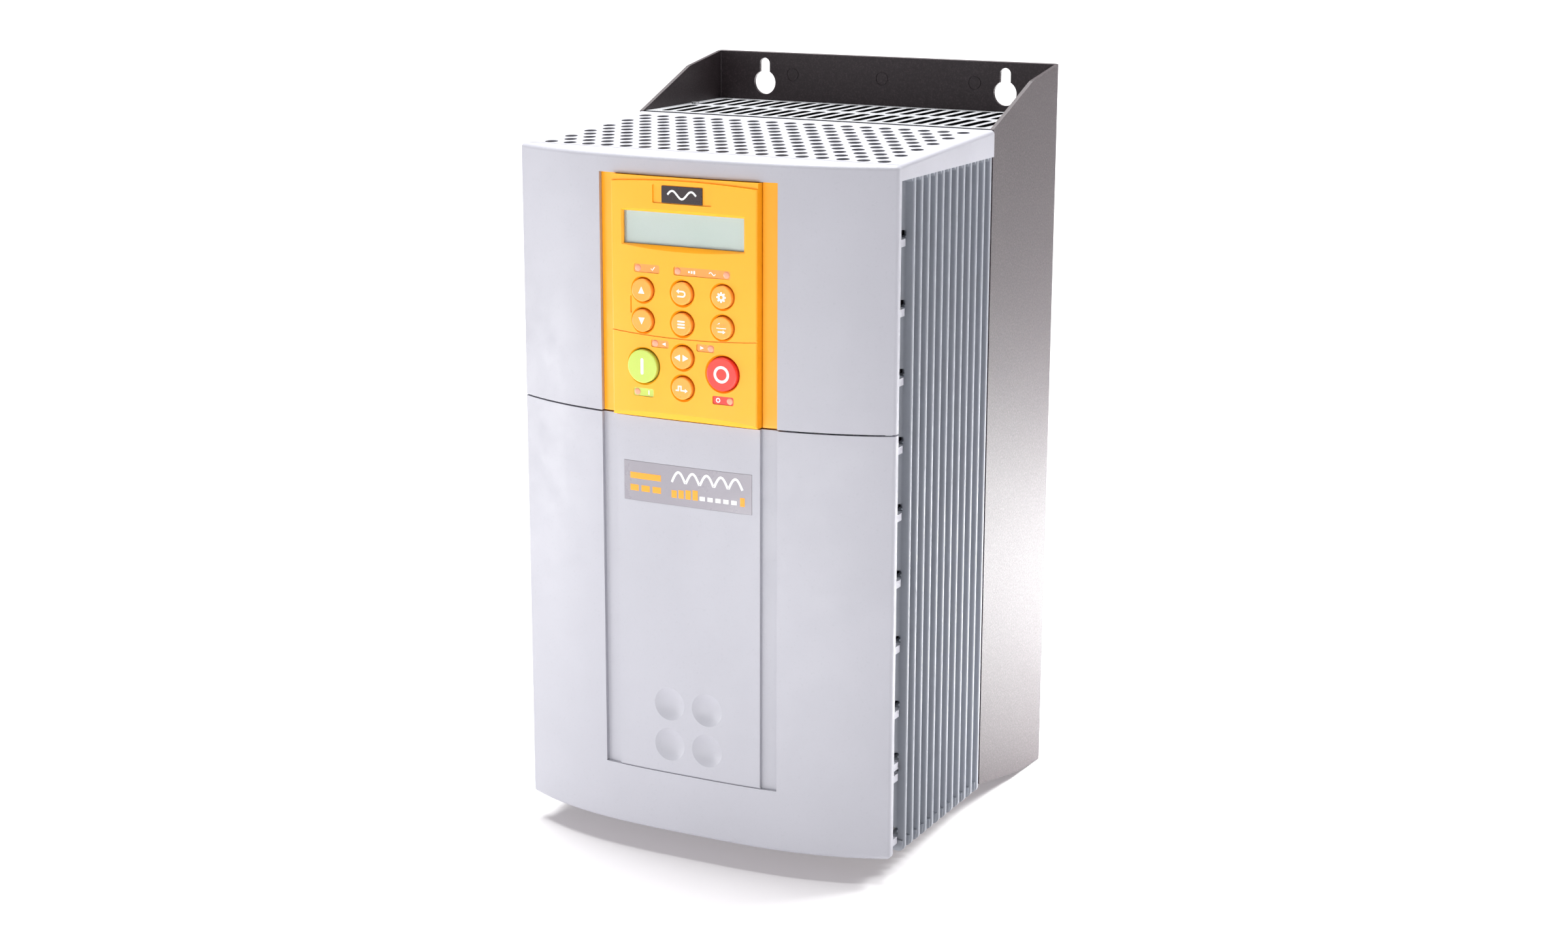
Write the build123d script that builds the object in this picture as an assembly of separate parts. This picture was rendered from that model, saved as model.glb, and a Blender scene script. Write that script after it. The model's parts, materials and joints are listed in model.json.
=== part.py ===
from build123d import *

import os

# Wall-mounted variable speed drive with a plug-in keypad.
# Millimetres. +X right, -Y towards the person in front, +Z up.
# The origin is the middle of the outline on the surface that the drive stands on.

# ---- Driving dimensions ---------------------------------------------------

WIDTH = 200.0
DEPTH = 220.0
HEIGHT = 375.0
HALF_WIDTH = WIDTH / 2
REAR_Y = DEPTH / 2

# Front covers: a bowed face over two mouldings, split across the middle.
COVER_EDGE_Y = -88.4
BOW = 17.2
BOW_POWER = 3
COVER_BACK_Y = -85.0
COVER_BOTTOM_Z = 12.5
COVER_TOP_Z = 343.5
SPLIT_Z = 219.9
SPLIT_GAP = 0.8
COVER_WALL = 2.4
COVER_ROUND = 2.2
CHANNEL_HALF = 47.0
CHANNEL_DEPTH = 2.0
CHANNEL_BOTTOM_Z = 43.1
CHANNEL_TOP_Z = 334.4
CHANNEL_FLOOR = CHANNEL_DEPTH + COVER_WALL
CHANNEL_LIP = 2.5
UPPER_COVER_Z = SPLIT_Z + SPLIT_GAP / 2
LOWER_COVER_TOP_Z = SPLIT_Z - SPLIT_GAP / 2

# Snap tabs down both rear edges of the covers, and the windows that they catch in.
TAB_FIRST_Z = 16.4
TAB_PITCH = 32.27
TAB_COUNT = 10
TAB_EXTRA_Z = 54.6
TAB_HALF_HEIGHT = 1.75
TAB_X = (94.2, 96.4)
TAB_FOOT_X = 98.8
TAB_FOOT = 2.0
TAB_LENGTH = 12.6
TAB_WINDOW_X = 95.4
TAB_WINDOW = 3.4

# Finger dimples and badge on the lower cover.
DIMPLE_X = 10.35
DIMPLE_Z = (58.0, 78.6)
DIMPLE_RADIUS = 8.25
DIMPLE_DEPTH = 2.4
BADGE_HALF = 34.4
BADGE_Z = (178.4, 197.6)
BADGE_THICK = 0.5

# Ribbed side panels and the vent panel that caps them.
PANEL_FRONT_Y = -84.4
PANEL_REAR_Y = 23.4
PANEL_INNER_X = 91.0
PANEL_FLOOR_X = 93.0
RIB_TIP_X = 99.2
RIB_COUNT = 12
RIB_FIRST_Y = -68.4
RIB_LAST_Y = 20.8
RIB_WIDTH = 2.3
RIB_ROOT_ROUND = 2.2
RIB_TIP_ROUND = 0.7
TOE_STEP = 0.9
BROW = 2.0
PANEL_BOTTOM_Z = 10.2
PANEL_FOOT_Z = 15.6
PANEL_CORNER = 3.0
FLANGE_INNER_X = 84.0
PANEL_TOP_Z = 336.2
CAP_FRONT_Z = COVER_TOP_Z
CAP_REAR_Z = 349.0
CAP_HALF = 99.5
CAP_SHEET = 2.5
CAP_BAND = 6.0
CAP_ROUND = 2.0
VENT_ROWS = 11
VENT_COLUMNS = 18
VENT_PITCH_X = 10.4
VENT_PITCH_Y = 9.0
VENT_FIRST_Y = -79.0
VENT_RADIUS = 3.15

# Folded steel bracket that screws to the wall.
BRACKET_HALF = 99.0
BRACKET_SHEET = 2.0
BRACKET_SIDE = ((23.5, 13.5), (77.7, 2.4), (REAR_Y, 0.0), (REAR_Y, HEIGHT), (73.6, 368.9), (23.5, 349.3))
FIXING_X = 70.0
KEYHOLE_Z = 358.7
KEYHOLE_RADIUS = 6.4
KEYHOLE_SLOT_Z = 368.8
KEYHOLE_SLOT_RADIUS = 3.0
LOWER_HOLE_Z = 8.0
LOWER_HOLE_RADIUS = 3.25
WELD_MARK_X = (-53.0, 0.0, 53.0)
WELD_MARK_Z = 363.5

# Cooling duct behind the chassis plate.
CHASSIS_Y = 23.6
CHASSIS_SHEET = 1.5
CHASSIS_HALF = 96.8
CHASSIS_Z = (14.0, 346.0)
WINDOW_HALF = 64.0
WINDOW_Z = (112.0, 232.0)
DUCT_FRONT_Y = CHASSIS_Y + CHASSIS_SHEET
DUCT_REAR_Y = REAR_Y - BRACKET_SHEET
HEATSINK_HALF = 93.0
HEATSINK_Z = (48.0, 300.0)
HEATSINK_BASE = 6.0
FIN_COUNT = 17
FIN_THICK = 1.7
FIN_REAR_Y = 104.0
GRILLE_TOP_Z = 349.3
GRILLE_SHEET = 1.5
GRILLE_SLOTS = 22
GRILLE_PITCH = 8.4
GRILLE_SLOT_WIDTH = 5.0
GRILLE_SLOT_LENGTH = 33.0
GRILLE_FLANGE = 11.0
GRILLE_SCREW_X = 90.0
FAN_TRAY_Z = (16.0, 17.5)
FAN_X = 45.0
FAN_Y = 66.5
FAN_HALF = 40.0
FAN_HEIGHT = 25.0
FAN_BORE = 38.0
FAN_HUB = 17.0
FAN_BLADES = 7
FAN_HOLE_PITCH = 71.5
FAN_HOLE_RADIUS = 2.2
FAN_SHAFT = 1.5
FAN_SHAFT_FIT = 0.05
FAN_TIP_GAP = 1.2
FAN_TRAY_FLANGE = 12.0
GUARD_WIRE = 3.0
GUARD_THICK = 1.4
GUARD_RINGS = (8.0, 17.0, 26.0, 35.0)

# Underside.
GLAND_Z = (18.0, 20.0)
GLAND_HALF = 90.5
GLAND_Y = (-82.0, 23.4)
GLAND_LIP_X = (72.0, 74.0)
GLAND_LIP_FRONT_Y = -30.0
GLAND_REAR_RISE = 14.0
CABLE_HOLE_X = (-54.0, -18.0, 18.0, 54.0)
CABLE_HOLE_Y = -28.0
CABLE_HOLE_RADIUS = 12.0
GROMMET_BORE = 8.5
GROMMET_LIP = 2.0
EARTH_STUD = (74.0, -66.0)

# Power electronics.
MODULE_X = (-44.0, 0.0, 44.0)
MODULE_Z = (122.0, 216.0)
MODULE_HALF = 17.0
MODULE_FRONT_Y = -4.0
MODULE_TERMINAL_Z = (136.0, 169.0, 202.0)
BAR_THICK = 3.0
BAR_HALF = 6.0
BAR_FRONT_Y = MODULE_FRONT_Y - BAR_THICK
POWER_BLOCK_Z = (48.0, 76.0)
POWER_BLOCK_FRONT_Y = -12.0
POWER_WAYS = 7
POWER_PITCH = 22.0
POWER_BOARD_Y = -24.0
BOARD_THICK = 1.6
POWER_BOARD_HALF = 84.0
POWER_BOARD_Z = (96.0, 326.0)
STANDOFF_X = 79.0
STANDOFF_Z = (106.0, 211.0, 316.0)

# Control electronics.
TRAY_Y = (-66.0, -64.0)
TRAY_HALF = 90.4
TRAY_RIM_Y = (-74.0, -52.0)
TRAY_Z = (82.0, 332.0)
CONTROL_BOARD_Y = -74.6
CONTROL_BOARD_HALF = 82.0
CONTROL_BOARD_Z = (86.0, 328.0)
CONTROL_BLOCK_X = (-52.0, 0.0, 52.0)
CONTROL_WAYS = 10
CONTROL_WAY_PITCH = 5.0
CHIPS = (
    (-30.0, 190.0, 28.0, 28.0, 3.0),
    (20.0, 196.0, 16.0, 24.0, 3.0),
    (-62.0, 200.0, 14.0, 28.0, 6.0),
    (60.0, 190.0, 20.0, 16.0, 9.0),
    (60.0, 160.0, 20.0, 16.0, 9.0),
    (-20.0, 150.0, 22.0, 12.0, 3.0),
    (20.0, 150.0, 22.0, 12.0, 3.0),
    (-64.0, 290.0, 18.0, 40.0, 8.0),
    (64.0, 290.0, 18.0, 40.0, 8.0),
    (0.0, 318.0, 40.0, 8.0, 5.0),
)
PULSE_Z = (262.0, 292.0)
PULSE_SIZE = 18.0
PULSE_DEEP = 14.0
SNUBBER_Z = (140.0, 190.0)
SNUBBER_SIZE = (16.0, 22.0, 30.0)
BOARD_PART_X = (-40.0, 0.0, 40.0)
CABLE_WIDTH = 24.0
CABLE_THICK = 0.8
CABLE_ROUTE = ((-60.0, 306.0), (-44.0, 314.0))
SOCKET_FRONT_Y = -83.0
SOCKET_Z = 244.0

# Keypad.
KEYPAD_HALF = 38.5
KEYPAD_Z = (SPLIT_Z + SPLIT_GAP / 2, 334.0)
KEYPAD_PROUD = 3.2
KEYPAD_WALL = 2.0
KEYPAD_FACE_WALL = 2.9
KEYPAD_SPLIT_Y = -96.0
KEYPAD_BACK_Y = -86.2
POCKET_GAP = 0.4
KEYPAD_FACE_Y = COVER_EDGE_Y - BOW - KEYPAD_PROUD
KEY_FRONT_Y = -REAR_Y
KEY_FLANGE = 1.0
KEY_FLANGE_Y = (-104.9, -104.2)
KEY_ROUND = 0.6
KEY_GAP = 0.4
SMALL_KEY = 5.35
LARGE_KEY = 7.95
KEY_COLUMN = 21.15
LARGE_KEY_Z = 244.9
SMALL_KEYS = {
    "key_up": (-KEY_COLUMN, 281.0),
    "key_escape": (0.0, 281.0),
    "key_program": (KEY_COLUMN, 281.0),
    "key_down": (-KEY_COLUMN, 266.6),
    "key_menu": (0.0, 266.6),
    "key_local_remote": (KEY_COLUMN, 266.6),
    "key_direction": (0.0, 250.8),
    "key_jog": (0.0, 236.3),
}
LARGE_KEYS = {
    "key_start": (-KEY_COLUMN, LARGE_KEY_Z),
    "key_stop": (KEY_COLUMN, LARGE_KEY_Z),
}
DISPLAY_Z = 310.0
DISPLAY_HALF = (31.75, 7.7)
BEZEL_HALF = (33.8, 9.5)
BEZEL_DEPTH = 1.3
NAMEPLATE_Z = 326.4
NAMEPLATE_RECESS = (31.0, 8.6)
NAMEPLATE_SIZE = (21.4, 7.8)
WINDOW_DEPTH = 0.35
BROW_Z = (330.9, 332.6)
CHIN = (2.3, 8.2)
GROOVE_Z = (260.8, 259.2)
LINK_PLACE = (-27.6, 273.8)
LINK_SIZE = (0.7, 8.0)
AMBER_WINDOWS = (
    (-18.9, 291.2, 13.7, 4.0),
    (10.3, 291.2, 29.6, 4.0),
    (-12.1, 256.2, 9.4, 3.6),
    (12.1, 256.2, 9.4, 3.6),
)
GREEN_WINDOW = (-21.2, 232.3, 11.0, 4.0)
RED_WINDOW = (21.2, 232.3, 11.0, 4.0)
KEYPAD_BOARD_Y = -100.6
KEYMAT_Y = -101.8
KEYPAD_OPENING_Y = -100.0
LENS_Y = (-106.8, -105.6)
LCD_FACE_Y = (-105.4, -104.8)
LABEL_BACK_Y = -105.2
LABEL_ROUND = 0.85
PLUG_END_Y = -77.0
POCKET_WALL = 1.6
POCKET_COLLAR_Y = (-101.5, -99.3)
PLUG_HALF = (9.0, 4.0)


# ---- Shared shapes --------------------------------------------------------

def block(x, y, z):
    """Box between pairs of low and high coordinates."""
    low = Vector(min(x), min(y), min(z))
    high = Vector(max(x), max(y), max(z))
    size = high - low
    return Location((low + high) / 2) * Box(size.X, size.Y, size.Z)


def rod_y(x, z, span, radius):
    """Cylinder along Y."""
    middle = (x, (span[0] + span[1]) / 2, z)
    return Pos(*middle) * Rot(90, 0, 0) * Cylinder(radius, abs(span[1] - span[0]))


def rod_z(x, y, span, radius):
    """Cylinder along Z."""
    middle = (x, y, (span[0] + span[1]) / 2)
    return Pos(*middle) * Cylinder(radius, abs(span[1] - span[0]))


def evenly(count, pitch):
    """Positions of count things at one pitch, centred on zero."""
    return [(i - (count - 1) / 2) * pitch for i in range(count)]


def front_y(x, inset=0.0):
    """Depth of the bowed front face at x, or of a face set back from it."""
    return COVER_EDGE_Y - BOW * (1 - (abs(x) / HALF_WIDTH) ** BOW_POWER) + inset


def bow(x_lo, x_hi, inset):
    """Curve of the bowed face between two x, seen from above."""
    steps = 10
    xs = [x_lo + (x_hi - x_lo) * i / steps for i in range(steps + 1)]
    return Spline(*[(x, front_y(x, inset)) for x in xs])


def bowed_prism(x_lo, x_hi, inset, y_back, z_lo, z_hi):
    """Upright solid from the bowed face back to a flat back."""
    front = bow(x_lo, x_hi, inset)
    rest = Polyline(front @ 1, (x_hi, y_back), (x_lo, y_back), front @ 0)
    outline = make_face([front, rest])
    return Pos(0, 0, z_lo) * extrude(outline, z_hi - z_lo, dir=(0, 0, 1))


def bowed_sheet(x_lo, x_hi, inset, thick, z_lo, z_hi):
    """Sheet that follows the bowed face, from inset back to inset + thick."""
    front = bow(x_lo, x_hi, inset)
    back = bow(x_lo, x_hi, inset + thick)
    ends = [Line(front @ 0, back @ 0), Line(front @ 1, back @ 1)]
    outline = make_face([front, back, *ends])
    return Pos(0, 0, z_lo) * extrude(outline, z_hi - z_lo, dir=(0, 0, 1))


def upright(sketch, y_front, y_back):
    """Solid from a drawing in X and Z, between two depths."""
    return Pos(0, y_front, 0) * extrude(Plane.XZ * sketch, y_back - y_front, dir=(0, 1, 0))


def pill(x, z, width, height, y_front, y_back, round_by=0.8):
    """Upright plate with rounded corners, centred at x and z."""
    sketch = Pos(x, z) * RectangleRounded(width, height, round_by)
    return upright(sketch, y_front, y_back)


def both_sides(solid):
    """A solid and its mirror image across the middle plane."""
    return [solid, mirror(solid, about=Plane.YZ)]


# ---- Front covers ---------------------------------------------------------

def softened(shell, z_flat):
    """Rounds a cover's outer corners, all but the edges at its split."""
    corners = shell.edges().filter_by(Axis.Z).filter_by(lambda e: e.center().Y < COVER_EDGE_Y + 0.1)
    ends = shell.faces().filter_by(Axis.Z).filter_by(lambda f: abs(f.center().Z - z_flat) > 1)
    rim = ends[0].edges().filter_by(lambda e: e.center().Y < COVER_BACK_Y - 0.1)
    return fillet([*corners, *rim], COVER_ROUND)


def clip_tabs(heights):
    """Snap tabs that reach back from both rear edges of a cover."""
    tabs = []
    for z in heights:
        span = (z - TAB_HALF_HEIGHT, z + TAB_HALF_HEIGHT)
        foot_y = (COVER_BACK_Y - TAB_FOOT, COVER_BACK_Y)
        hook = block(TAB_X, (foot_y[0], COVER_BACK_Y + TAB_LENGTH), span)
        tabs += both_sides(hook + block((TAB_X[0], TAB_FOOT_X), foot_y, span))
    return tabs


def tab_heights():
    """Heights of every snap tab, lower cover first."""
    heights = [TAB_FIRST_Z + TAB_PITCH * i for i in range(TAB_COUNT)]
    return sorted([*heights, TAB_EXTRA_Z])


def upper_front_cover():
    """Fixed cover around the keypad, open below the keypad's channel."""
    shell = bowed_prism(-HALF_WIDTH, HALF_WIDTH, 0, COVER_BACK_Y, UPPER_COVER_Z, COVER_TOP_Z)
    shell = softened(shell, UPPER_COVER_Z)
    inner = HALF_WIDTH - COVER_WALL
    ceiling = COVER_TOP_Z - COVER_WALL
    shell -= bowed_prism(-inner, inner, COVER_WALL, COVER_BACK_Y, UPPER_COVER_Z, ceiling)
    shell -= block((-CHANNEL_HALF, CHANNEL_HALF), (-REAR_Y, COVER_BACK_Y), (UPPER_COVER_Z, CHANNEL_TOP_Z))
    return shell + clip_tabs([z for z in tab_heights() if z > SPLIT_Z])


def channel_strip(x_lo, x_hi, depth, z_lo, z_hi):
    """Cutter for a shallow strip along the bowed face."""
    return bowed_sheet(x_lo, x_hi, -1, depth + 1, z_lo, z_hi)


def lower_front_cover():
    """Pull-off terminal cover with a raised centre panel and finger dimples."""
    shell = bowed_prism(-HALF_WIDTH, HALF_WIDTH, 0, COVER_BACK_Y, COVER_BOTTOM_Z, LOWER_COVER_TOP_Z)
    shell = softened(shell, LOWER_COVER_TOP_Z)
    inner = HALF_WIDTH - COVER_WALL
    lip = CHANNEL_HALF + CHANNEL_LIP
    floor = COVER_BOTTOM_Z + COVER_WALL
    hollows = ((-inner, -lip, COVER_WALL), (-lip, lip, CHANNEL_FLOOR), (lip, inner, COVER_WALL))
    for x_lo, x_hi, inset in hollows:
        shell -= bowed_prism(x_lo, x_hi, inset, COVER_BACK_Y, floor, LOWER_COVER_TOP_Z)
    for strip in both_sides(channel_strip(KEYPAD_HALF, CHANNEL_HALF, CHANNEL_DEPTH,
                                          CHANNEL_BOTTOM_Z, LOWER_COVER_TOP_Z)):
        shell -= strip
    shell -= channel_strip(-KEYPAD_HALF, KEYPAD_HALF, 0.8, CHANNEL_BOTTOM_Z, CHANNEL_BOTTOM_Z + 0.8)
    ball = (DIMPLE_RADIUS ** 2 + DIMPLE_DEPTH ** 2) / (2 * DIMPLE_DEPTH)
    for x in (-DIMPLE_X, DIMPLE_X):
        for z in DIMPLE_Z:
            shell -= Pos(x, front_y(x) + DIMPLE_DEPTH - ball, z) * Sphere(ball)
    shell -= channel_strip(-BADGE_HALF - 0.1, BADGE_HALF + 0.1, BADGE_THICK - 0.1,
                           BADGE_Z[0] - 0.1, BADGE_Z[1] + 0.1)
    return shell + clip_tabs([z for z in tab_heights() if z < SPLIT_Z])


def badge_plate():
    """Thin printed plate in its recess on the lower cover."""
    return bowed_sheet(-BADGE_HALF, BADGE_HALF, -0.1, BADGE_THICK, *BADGE_Z)


def keypad_surround():
    """Channel strips beside the keypad and the pocket that it plugs into."""
    inner = KEYPAD_HALF + POCKET_GAP
    floor = (KEYPAD_BACK_Y + 0.6, KEYPAD_BACK_Y + 0.6 + POCKET_WALL)
    pocket_z = (KEYPAD_Z[0] - 1.3, KEYPAD_Z[1] + POCKET_GAP)
    pocket_x = (-inner - POCKET_WALL, inner + POCKET_WALL)
    top = pocket_z[1] + POCKET_WALL
    strips = bowed_sheet(-CHANNEL_HALF + 0.1, CHANNEL_HALF - 0.1, CHANNEL_DEPTH, COVER_WALL,
                         UPPER_COVER_Z, CHANNEL_TOP_Z - 0.1)
    lip = bowed_sheet(-CHANNEL_HALF - 5, CHANNEL_HALF + 5, COVER_WALL + 0.3, 1.7,
                      UPPER_COVER_Z, CHANNEL_TOP_Z + 4)
    pocket = block(pocket_x, (POCKET_COLLAR_Y[1], floor[1]), (pocket_z[0] - POCKET_WALL, top))
    collar = block(pocket_x, POCKET_COLLAR_Y, (UPPER_COVER_Z, top))
    rest = strips + lip + pocket + collar
    rest -= block((-inner, inner), (-REAR_Y, floor[0]), pocket_z)
    window = (PLUG_HALF[0] + 3, PLUG_HALF[1] + 3)
    return rest - block((-window[0], window[0]), floor, (SOCKET_Z - window[1], SOCKET_Z + window[1]))


# ---- Sides and top --------------------------------------------------------

def rib_positions():
    """Depth of each rib down the side panels."""
    pitch = (RIB_LAST_Y - RIB_FIRST_Y) / (RIB_COUNT - 1)
    return [RIB_FIRST_Y + pitch * i for i in range(RIB_COUNT)]


def ribbed_outline():
    """Plan of the right side panel: a floor, ribs with hollow roots and rounded tips."""
    middle = (PANEL_FRONT_Y + PANEL_REAR_Y) / 2
    floor = Pos((PANEL_INNER_X + PANEL_FLOOR_X) / 2, middle)
    outline = floor * Rectangle(PANEL_FLOOR_X - PANEL_INNER_X, PANEL_REAR_Y - PANEL_FRONT_Y)
    length = RIB_TIP_X - PANEL_FLOOR_X + 0.5
    for y in rib_positions():
        outline += Pos(RIB_TIP_X - length / 2, y) * Rectangle(length, RIB_WIDTH)
    roots = [v for v in outline.vertices()
             if abs(v.X - PANEL_FLOOR_X) < 0.01
             and PANEL_FRONT_Y + RIB_ROOT_ROUND < v.Y < PANEL_REAR_Y - RIB_ROOT_ROUND]
    outline = fillet(roots, RIB_ROOT_ROUND)
    tips = [v for v in outline.vertices() if abs(v.X - RIB_TIP_X) < 0.01]
    return fillet(tips, RIB_TIP_ROUND)


def lower_corner():
    """Cutter that rounds the lower outer corner of every rib."""
    tip = RIB_TIP_X - PANEL_CORNER
    bottom = PANEL_BOTTOM_Z + PANEL_CORNER
    span = (PANEL_FRONT_Y - 1, PANEL_REAR_Y + 1)
    corner = block((tip, RIB_TIP_X + 1), span, (PANEL_BOTTOM_Z - 1, bottom))
    return corner - rod_y(tip, bottom, (span[0] - 1, span[1] + 1), PANEL_CORNER)


def rib_brow(front):
    """Wedge that closes the groove in front of a rib under the cap."""
    rear = front + 0.1
    corners = [(rear, PANEL_TOP_Z - BROW - 0.1), (rear, PANEL_TOP_Z), (front - BROW, PANEL_TOP_Z)]
    wedge = Plane.YZ * make_face(Polyline(*corners, close=True))
    depth = RIB_TIP_X - RIB_TIP_ROUND - PANEL_FLOOR_X
    return Pos(PANEL_FLOOR_X - 0.1, 0, 0) * extrude(wedge, depth + 0.1, dir=(1, 0, 0))


def side_panel_right():
    """Ribbed side panel with toed ribs, windows for the cover tabs and inner flanges."""
    height = PANEL_TOP_Z - PANEL_BOTTOM_Z
    panel = Pos(0, 0, PANEL_BOTTOM_Z) * extrude(ribbed_outline(), height, dir=(0, 0, 1))
    for y in rib_positions():
        panel += block((PANEL_FLOOR_X - 0.1, RIB_TIP_X - TOE_STEP),
                       (y - RIB_WIDTH / 2 - TOE_STEP, y), (PANEL_BOTTOM_Z, PANEL_FOOT_Z))
        panel += rib_brow(y - RIB_WIDTH / 2)
    panel -= lower_corner()
    panel -= block((PANEL_INNER_X - 1, RIB_TIP_X), (PANEL_FRONT_Y - 1, RIB_FIRST_Y - 3.3),
                   (PANEL_BOTTOM_Z - 1, COVER_BOTTOM_Z + 1))
    for z in tab_heights():
        window_z = z + TAB_HALF_HEIGHT
        panel -= block((PANEL_INNER_X - 1, TAB_WINDOW_X), (RIB_FIRST_Y - 4, RIB_FIRST_Y + 6.5),
                       (window_z, window_z + TAB_WINDOW))
    flange_x = (FLANGE_INNER_X, PANEL_INNER_X)
    panel += block(flange_x, (PANEL_FRONT_Y, PANEL_FRONT_Y + 0.8), (GLAND_Z[1], PANEL_TOP_Z))
    return panel + block(flange_x, (PANEL_REAR_Y - 2, PANEL_REAR_Y), (GLAND_Z[1] + 16, PANEL_TOP_Z))


def side_panel_left():
    """Mirror image of the right side panel."""
    return mirror(side_panel_right(), about=Plane.YZ)


def cap_profile(drop):
    """Side view of the vent panel's top sheet, lowered by drop."""
    return [(PANEL_FRONT_Y, CAP_FRONT_Z - drop), (PANEL_REAR_Y, CAP_REAR_Z - drop)]


def top_vent_panel():
    """Sloped perforated top whose skirts form the plain bands above the ribs."""
    foot = [(PANEL_REAR_Y, PANEL_TOP_Z), (PANEL_FRONT_Y, PANEL_TOP_Z)]
    side = Plane.YZ * make_face(Polyline(*cap_profile(0), *foot, close=True))
    cap = Pos(-CAP_HALF, 0, 0) * extrude(side, 2 * CAP_HALF, dir=(1, 0, 0))
    rims = cap.faces().sort_by(Axis.Z)[-1].edges()
    cap = fillet(rims.filter_by(lambda e: abs(e.center().X) > CAP_HALF - 0.1), CAP_ROUND)
    below = [(y, z - 1) for y, z in foot]
    hollow = Plane.YZ * make_face(Polyline(*cap_profile(CAP_SHEET), *below, close=True))
    inner = CAP_HALF - CAP_BAND
    cap -= Pos(-inner, 0, 0) * extrude(hollow, 2 * inner, dir=(1, 0, 0))
    return cap - vent_holes()


def vent_holes():
    """Staggered round holes: rows of 18 and 17 in turn."""
    holes = []
    for row in range(VENT_ROWS):
        y = VENT_FIRST_Y + VENT_PITCH_Y * row
        for x in evenly(VENT_COLUMNS - row % 2, VENT_PITCH_X):
            holes.append(rod_z(x, y, (PANEL_TOP_Z, CAP_REAR_Z + 2), VENT_RADIUS))
    return holes


# ---- Bracket and duct -----------------------------------------------------

def mounting_bracket():
    """Back plate with folded sides, keyholes above and round holes below."""
    depth = REAR_Y - BRACKET_SIDE[0][0]
    middle = REAR_Y - depth / 2
    channel = Pos(0, middle, HEIGHT / 2) * Box(2 * BRACKET_HALF, depth, HEIGHT)
    folds = channel.edges().filter_by(Axis.Z).filter_by(lambda e: e.center().Y > REAR_Y - 0.1)
    channel = fillet(folds, 2.5)
    inner = BRACKET_HALF - BRACKET_SHEET
    hollow = Pos(0, middle - BRACKET_SHEET, HEIGHT / 2) * Box(2 * inner, depth, HEIGHT)
    inner_folds = hollow.edges().filter_by(Axis.Z).filter_by(lambda e: e.center().Y > REAR_Y - 3)
    channel -= fillet(inner_folds, 0.6)
    side = Plane.YZ * make_face(Polyline(*BRACKET_SIDE, close=True))
    bracket = channel & (Pos(-HALF_WIDTH, 0, 0) * extrude(side, WIDTH, dir=(1, 0, 0)))
    through = (DUCT_REAR_Y - 1, REAR_Y + 1)
    for x in (-FIXING_X, FIXING_X):
        bracket -= rod_y(x, KEYHOLE_Z, through, KEYHOLE_RADIUS)
        bracket -= rod_y(x, KEYHOLE_SLOT_Z, through, KEYHOLE_SLOT_RADIUS)
        slot_x = (x - KEYHOLE_SLOT_RADIUS, x + KEYHOLE_SLOT_RADIUS)
        bracket -= block(slot_x, through, (KEYHOLE_Z, KEYHOLE_SLOT_Z))
        bracket -= rod_y(x, LOWER_HOLE_Z, through, LOWER_HOLE_RADIUS)
    for x in WELD_MARK_X:
        ring_depth = (DUCT_REAR_Y - 1, DUCT_REAR_Y + 0.3)
        ring = rod_y(x, WELD_MARK_Z, ring_depth, 3.6) - rod_y(x, WELD_MARK_Z, ring_depth, 3.1)
        bracket -= ring
    return bracket


def chassis_plate():
    """Steel bulkhead that carries the side panels, heatsink and boards."""
    plate = block((-CHASSIS_HALF, CHASSIS_HALF), (CHASSIS_Y, DUCT_FRONT_Y), CHASSIS_Z)
    return plate - block((-WINDOW_HALF, WINDOW_HALF), (CHASSIS_Y - 1, DUCT_FRONT_Y + 1), WINDOW_Z)


def heatsink():
    """Extruded base with upright fins that fill the duct."""
    base_y = (DUCT_FRONT_Y, DUCT_FRONT_Y + HEATSINK_BASE)
    sink = block((-HEATSINK_HALF, HEATSINK_HALF), base_y, HEATSINK_Z)
    pitch = (2 * HEATSINK_HALF - FIN_THICK) / (FIN_COUNT - 1)
    for x in evenly(FIN_COUNT, pitch):
        fin_x = (x - FIN_THICK / 2, x + FIN_THICK / 2)
        sink += block(fin_x, (base_y[1] - 0.1, FIN_REAR_Y), HEATSINK_Z)
    return sink


def duct_top_grille():
    """Slotted steel guard over the duct, with flanges folded down at both ends."""
    y = (DUCT_FRONT_Y + 0.2, DUCT_REAR_Y - 0.2)
    grille = block((-CHASSIS_HALF, CHASSIS_HALF), y, (GRILLE_TOP_Z - GRILLE_SHEET, GRILLE_TOP_Z))
    flange_z = (GRILLE_TOP_Z - GRILLE_FLANGE, GRILLE_TOP_Z)
    grille += both_sides(block((CHASSIS_HALF - GRILLE_SHEET, CHASSIS_HALF), y, flange_z))
    slots = []
    for y_mid in (y[0] + 5 + GRILLE_SLOT_LENGTH / 2, y[1] - 5 - GRILLE_SLOT_LENGTH / 2):
        for x in evenly(GRILLE_SLOTS, GRILLE_PITCH):
            slots.append(Pos(x, y_mid) * SlotOverall(GRILLE_SLOT_LENGTH, GRILLE_SLOT_WIDTH, rotation=90))
    cutter = extrude(Sketch() + slots, 2 * GRILLE_SHEET, dir=(0, 0, 1))
    return grille - Pos(0, 0, GRILLE_TOP_Z - 1.5 * GRILLE_SHEET) * cutter


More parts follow.
